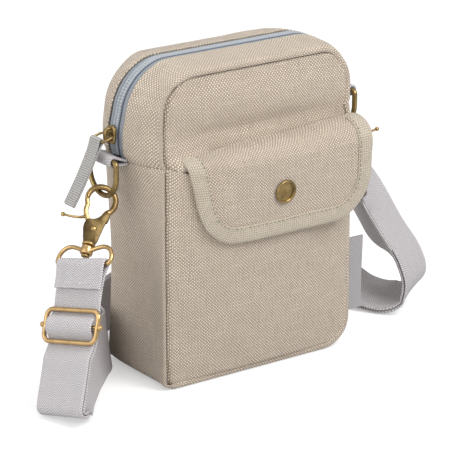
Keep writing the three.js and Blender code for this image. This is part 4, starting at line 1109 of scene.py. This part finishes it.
route = webbingRoute()
route = smoothLine(int(lengthsAlong(route)[-1] / strap["step"]), route)
line, wide = onRibbon(route)
strapHalf = [0.25, 0.5, 0.75, 0.9, 0.97, 1]  # columns across half the webbing, thicker beside its thin edge
strapThick = [0.9, 0.9, 0.9, 1, 1, 0.75]
across = np.array([-k for k in strapHalf[::-1]] + [0] + strapHalf) * (strap["wide"] / 2 - strap["edge"])
thick = strap["thick"] / 2 * np.array(strapThick[::-1] + [0.9] + strapThick)[:, None]
middle = line[:, None] + wide[:, None] * across[:, None]
normal = unit(np.cross(wide, unit(np.gradient(line, axis=0))))[:, None]
strapFar = lengthsAlong(line)
cut = stacked(strapFar[:, None], across + strap["wide"] / 2)
makePiece("shoulderStrap", [wallPart(middle + normal * thick, middle - normal * thick, cut, strap["edge"])],
          "webbing", ["shoulder_strap"])
print("strap webbing", round(strapFar[-1]), "mm long")

# Rows of stitches across the sewn end near the left clasp
sewn = np.linspace(-17, 17, 40)
rows = []
for back in (12.6, 5.5):
    p, t, w, n = ribbonFrame(np.full(40, back))
    on = p + w * sewn[:, None] + n * (strap["layer"] + 0.95) + t * (0.7 * np.sin(sewn * 2.1))[:, None]
    rows.append(stitchPart(on, n, 2.4, long=1.8, thick=0.3))
makePiece("strapStitches", rows, "paleThread")

buckle = {"wide": 43, "tall": 20, "corner": 5, "wire": 1.5, "lift": 1.2, "bar": 1.3, "nub": 1.8}


def roundedFrame(wide, tall, r, count):  # rectangle with quarter-circle corners
    x, y = wide / 2 - r, tall / 2 - r
    arcs = [(x, y, 90, 0), (x, -y, 0, -90), (-x, -y, -90, -180), (-x, y, 180, 90)]
    return np.concatenate([ringArc(a, b, r, c, d, count) for a, b, c, d in arcs])


p, t, w, n = (row[0] for row in ribbonFrame(np.array([strap["buckleAt"]])))
barEnd = buckle["wide"] / 2 + buckle["wire"] + 0.7
buckleFrame = roundedFrame(buckle["wide"], buckle["tall"], buckle["corner"], 12)
parts = [barPart(buckleFrame, buckle["wire"], closed=True),
         barPart([(-barEnd, 0), (0, 0), (barEnd, 0)], buckle["bar"]),
         ballPart(buckle["nub"], (barEnd, 0, 0)), ballPart(buckle["nub"], (-barEnd, 0, 0))]
addMetal("strapBuckle", "strap_buckle", parts, frameAt(p + n * buckle["lift"], -t, n), "goldBrass")

# Clasps, rings and tabs, drawn in each clasp's own frame with the hook's middle at the origin

clasp = {"hookRadius": 9, "wire": 1.85, "rivetDrop": 20, "cheekIn": 1.35, "cheekOut": 2.6, "ringWire": 1.75,
         "ringDrop": 24, "ringGap": 1.2, "tabWide": 25, "tabThick": 1.5, "thumbBall": (-20.6, -16.5, 0)}
cheek = smoothLine(60, [(-3.6, -29.3), (0, -29.4), (3.6, -29.3), (5.2, -22), (6.2, -15.5), (7.5, -9.6),
                        (5.8, -6.6), (3.4, -8.2), (1.2, -11.5), (-1.5, -13.6), (-5.6, -15), (-6.2, -19),
                        (-5, -24), (-3.6, -29.3)])[:-1]
core = smoothLine(50, [(-3.6, -29.2), (3.6, -29.2), (5.2, -22), (6.1, -15.5), (7.2, -9.6), (5.6, -7),
                       (4.2, -9.5), (3.6, -16), (3.5, -22.5), (0, -23.6), (-5, -23.6), (-3.6, -29.2)])[:-1]
stem = [(0, -38.7), (2.2, -38.7), (2.6, -38.5), (2.7, -38.1), (2.6, -37.7), (2.2, -37.5), (1.6, -37.4),
        (1.6, -31), (3.7, -30.9), (4.1, -30.6), (4.2, -30), (4.1, -29.4), (3.7, -29), (0, -29)]
barrel = [(1.95, -37.1), (3.3, -37.1), (3.8, -36.8), (4, -36.2), (4, -32.4), (3.7, -31.6), (3.2, -31.3),
          (1.95, -31.3), (1.95, -37.1)]
rivet = [(0, 0.95), (0.7, 0.88), (1.3, 0.66), (1.7, 0.36), (1.9, 0), (1.9, -0.2), (0, -0.2)]
hub = [(1.4, 1.05), (2.7, 1.05), (2.9, 0.8), (2.9, -0.8), (2.7, -1.05), (1.4, -1.05), (1.4, 1.05)]
gate = smoothLine(40, ringArc(0, 0, clasp["hookRadius"], 191, 212, 6),
                  [(-7.8, -8.2), (-6.6, -12), (-3.4, -16.6), (-0.6, -19.6)])[:-4]
thumb = smoothLine(24, [(-6.2, -12.4), (-8.6, -14.2), (-12.5, -15.5), (-16.5, -16.2), (-20, -16.5)])
loopSide = np.concatenate([[(2.9, -34.3), (7.5, -32.7), (12.2, -31.7)], ringArc(13.1, -39.6, 7.8, 84, 0, 9),
                           ringArc(18.9, -41.1, 2, -10, -90, 6)])
swivelLoop = smoothLine(120, loopSide, loopSide[::-1] * [-1, 1])
ringLine = np.concatenate([ringArc(12.6, -2.4, 2.4, 90, 0, 8), ringArc(0, -9, 15, 0, -180, 40)[1:-1],
                           ringArc(-12.6, -2.4, 2.4, 180, 90, 8)])


# A turned shape laid along the local Z axis at the rivet's place, from a height on one side of the clasp
def onRivet(profile, sides, side, height):
    grid, cut = turnedPart(profile, sides)
    x, y, z = np.moveaxis(grid, -1, 0)
    return stacked(x, -side * z - clasp["rivetDrop"], side * (y + height)), cut


def withPaintedLight(parts, amount):  # sets the map that says how far a part takes the painted light colour instead of the painted shade one
    return [(grid, np.full_like(cut, amount)) for grid, cut in parts]


# Hook: a round wire along an arc, swelling toward its root, between two cheeks, with rivets and a turned stem
def hookParts():
    arcLine = np.concatenate([ringArc(0, 0, clasp["hookRadius"], 182, -58, 60), [(5.9, -9.2), (5.6, -12)]])
    far = np.linspace(0, 1, len(arcLine))
    wide = clasp["wire"] * (0.9 + 0.1 * smoothStep(far * 6)) + 0.35 * smoothStep((far - 0.85) / 0.15)
    near, out = clasp["cheekIn"], clasp["cheekOut"]
    head = [platePart(cheek, near, out, 0.55), platePart(cheek, -out, -near, 0.55),
            platePart(core, -1.4, 1.4, 0.1)]
    bright = [barPart(arcLine, wide, sides=24), onRivet(rivet, 24, 1, out), onRivet(rivet, 24, -1, out),
              turnedPart(stem, 32)]
    # painted shade on the cheeks and core, painted light on the wire, rivets and stem
    return withPaintedLight(head, 0) + withPaintedLight(bright, 1)


# Lever: a flat gate that closes the hook's mouth, a tapering thumb with a ball, and a hub on the rivet
def leverParts():
    slim = np.interp(np.linspace(0, 1, 24), [0, 0.3, 1], [1.1, 0.85, 0.7])
    # the whole lever takes the painted light colour
    return withPaintedLight([barPart(gate, 1.5, 1.05, square=0.6), barPart(thumb, slim, 0.85), onRivet(hub, 28, -1, 0),
                   ballPart(1.45, clasp["thumbBall"])], 1)


# Tab: webbing from the gusset's seam, round the ring's bar and back, straight between the seam and the bend
def tabPart(ringBar, seam):
    ys = np.linspace(-1, 1, 15) * (clasp["tabWide"] / 2 - 0.3) + ringBar[1]
    r = clasp["ringWire"] + 0.35 + clasp["tabThick"] / 2
    rootAt = lambda k: gussetPoint(np.full_like(ys, seam - 1.0 * k), ys, 0.1)
    along = unit((ringBar - gussetPoint(seam, ringBar[1], 0.3)) * [1, 0, 1])
    rise = np.array([-along[2], 0, along[0]])
    a = np.radians(np.linspace(100, -100, 22))
    bend = ringBar + along * (r * np.cos(a))[:, None] + rise * (r * np.sin(a))[:, None]
    bend = np.broadcast_to(bend[:, None], (22, 15, 3)).copy()
    bend[..., 1] = ys
    t = np.linspace(0, 1, 14)[:-1, None, None]
    lead = rootAt(1) * (1 - t) + bend[0] * t
    tail = rootAt(-1) * (1 - t[::-1]) + bend[-1] * t[::-1]
    tab = np.concatenate([lead, bend, tail])
    return clothPart(tab, clasp["tabThick"], stacked(lengthsAlong(tab[:, 7])[:, None], ys - ys[0]), 0.3)


def makeClasp(side, hook, bar, width, seam):
    up = unit(hook - bar)
    tag = side.capitalize()
    hookPlace = frameAt(hook, up, hooks[side]["facing"])
    addMetal("claspHook" + tag, "clasp_hook_" + side, hookParts(), hookPlace, "claspBrass")
    addMetal("claspLever" + tag, "clasp_lever_" + side, leverParts(), hookPlace, "claspBrass",
             body="lever_" + side)
    across = unit(width - up * np.dot(width, up))
    swivel = [barPart(swivelLoop, strap["barWire"]), turnedPart(barrel, 32)]
    swivelPlace = frameAt(hook, up, np.cross(across, up))
    addMetal("claspSwivel" + tag, "clasp_swivel_" + side, swivel, swivelPlace, "goldBrass")
    reach = clasp["hookRadius"] - clasp["wire"] - clasp["ringWire"] - clasp["ringGap"]
    ringBar = hook + up * reach + [0, 0, clasp["ringDrop"]]
    ring = [barPart(ringLine, clasp["ringWire"], closed=True)]
    addMetal("dRing" + tag, "d_ring_" + side, ring, frameAt(ringBar, (0, 0, 1), (1, 0, 0)), "brass")
    makePiece("ringTab" + tag, [tabPart(ringBar, seam)], "webbing", ["ring_tab_" + side])


makeClasp("left", leftHook, leftBar, ribbonFrame(np.array([0.0]))[2][0], leftSeam)
makeClasp("right", rightHook, rightBar, ribbonFrame(np.array([ribbonLong]))[2][0], rightSeam)
print("clasps hooked")

# Zip slider, its pull ring and tape

slider = {"height": 162, "depth": 2.0, "rise": 3.6, "drop": 18, "ringWide": 13, "ringLong": 8.4,
          "ringWire": 0.8, "pullTip": (-121, 10, 119), "tapeWide": 10.4, "tapeLong": 44, "tapeThick": 1.1,
          "bow": 0.8}
sliderAt, sliderDeep = slider["height"] - lowLeft, slider["depth"]
zipUp = gussetPoint(sliderAt + 3, sliderDeep, 0.4) - gussetPoint(sliderAt - 3, sliderDeep, 0.4)
sliderPlace = frameAt(gussetPoint(sliderAt, sliderDeep, 0.7), zipUp, (-1, 0, 0))
shell = smoothLine(48, [(-3, -5.5), (3, -5.5), (4.2, -2), (4.4, 3), (2.6, 5.5), (-2.6, 5.5), (-4.4, 3),
                        (-4.2, -2), (-3, -5.5)])[:-1]
bridge = smoothLine(40, [(-4, 1)], ringArc(-1.6, 3.4, 2.4, 180, 90, 5), ringArc(1.6, 3.4, 2.4, 90, 0, 5),
                    [(4, 1)])
grid, cut = barPart(bridge, 0.9, 1.5, square=0.7)
parts = [platePart(shell, 0.0, 2.2, 0.8), (grid[..., [2, 0, 1]], cut)]
addMetal("zipSlider", "zip_slider", parts, sliderPlace, "brass")
turn = np.radians(90 + slider["drop"])
tilt = np.array([(1, 0, 0), (0, np.cos(turn), -np.sin(turn)), (0, np.sin(turn), np.cos(turn))])
pullPlace = placed(np.array([0, 0, slider["rise"]]), sliderPlace), sliderPlace[1] @ tilt
pullFrame = roundedFrame(slider["ringWide"], slider["ringLong"], 2, 10) + [0, slider["ringLong"] / 2]
pullRing = barPart(pullFrame, slider["ringWire"], closed=True, sides=14)
addMetal("zipPullRing", "zip_pull_ring", [pullRing], pullPlace, "brass")

# Pull tape: folded round the ring's far bar, two layers that lie on each other down to a cut end
pullTop = placed(np.array([0, slider["ringLong"], 0]), pullPlace)
pullSide = pullPlace[1][:, 0]
toTip = unit(np.array(slider["pullTip"]) - pullTop)
pullDown = unit(toTip - pullSide * np.dot(toTip, pullSide))
pullFace = np.cross(pullSide, pullDown)
wrap = slider["ringWire"] + 0.3 + slider["tapeThick"] / 2
layer, long = slider["tapeThick"] / 2 + 0.1, slider["tapeLong"]
pullRoute = smoothLine(
    130, [(long, layer), (30, layer), (18, layer), (7, layer + 0.15)], ringArc(0, 0, wrap, 70, 290, 13),
    [(7, -layer - 0.15), (18, -layer), (30, -layer), (long - 0.6, -layer)])
bow = slider["bow"] * np.sin(np.pi * pullRoute[:, 0] / long)[:, None] * pullFace
line = pullTop + pullDown * pullRoute[:, :1] + pullFace * pullRoute[:, 1:] + bow
across = np.linspace(-1, 1, 9) * (slider["tapeWide"] / 2 - 0.2)
pullTape = clothPart(line[:, None] + pullSide * across[:, None], slider["tapeThick"],
                     stacked(lengthsAlong(line)[:, None], across), 0.2)
makePiece("zipPullTape", [pullTape], "pullTape", ["zip_pull_tape"])

# Side label: a tape folded in half along its outer edge, bare, held in the right front seam
label = {"out": 11.8, "low": 23, "high": 73, "thick": 0.55, "ripple": 0.5}
labelFold = smoothLine(
    60, [(-1.5, -0.32), (3, -0.32), (9, -0.34)], ringArc(label["out"] - 0.62, 0, 0.34, -90, 90, 9),
    [(9, 0.34), (3, 0.32), (-1.5, 0.32)])
zs = np.linspace(label["low"], label["high"], 60)[:, None]
ripple = label["ripple"] * np.sin((zs - label["low"]) / 11) * (labelFold[:, 0] / 10)
tape = stacked(half + labelFold[:, 0], frontFace - 0.2 + labelFold[:, 1] + ripple, zs)
makePiece("sideLabel", [clothPart(tape, label["thick"], stacked(zs, lengthsAlong(labelFold)))], "label",
          ["side_label"])
print("zip pull and label in place")
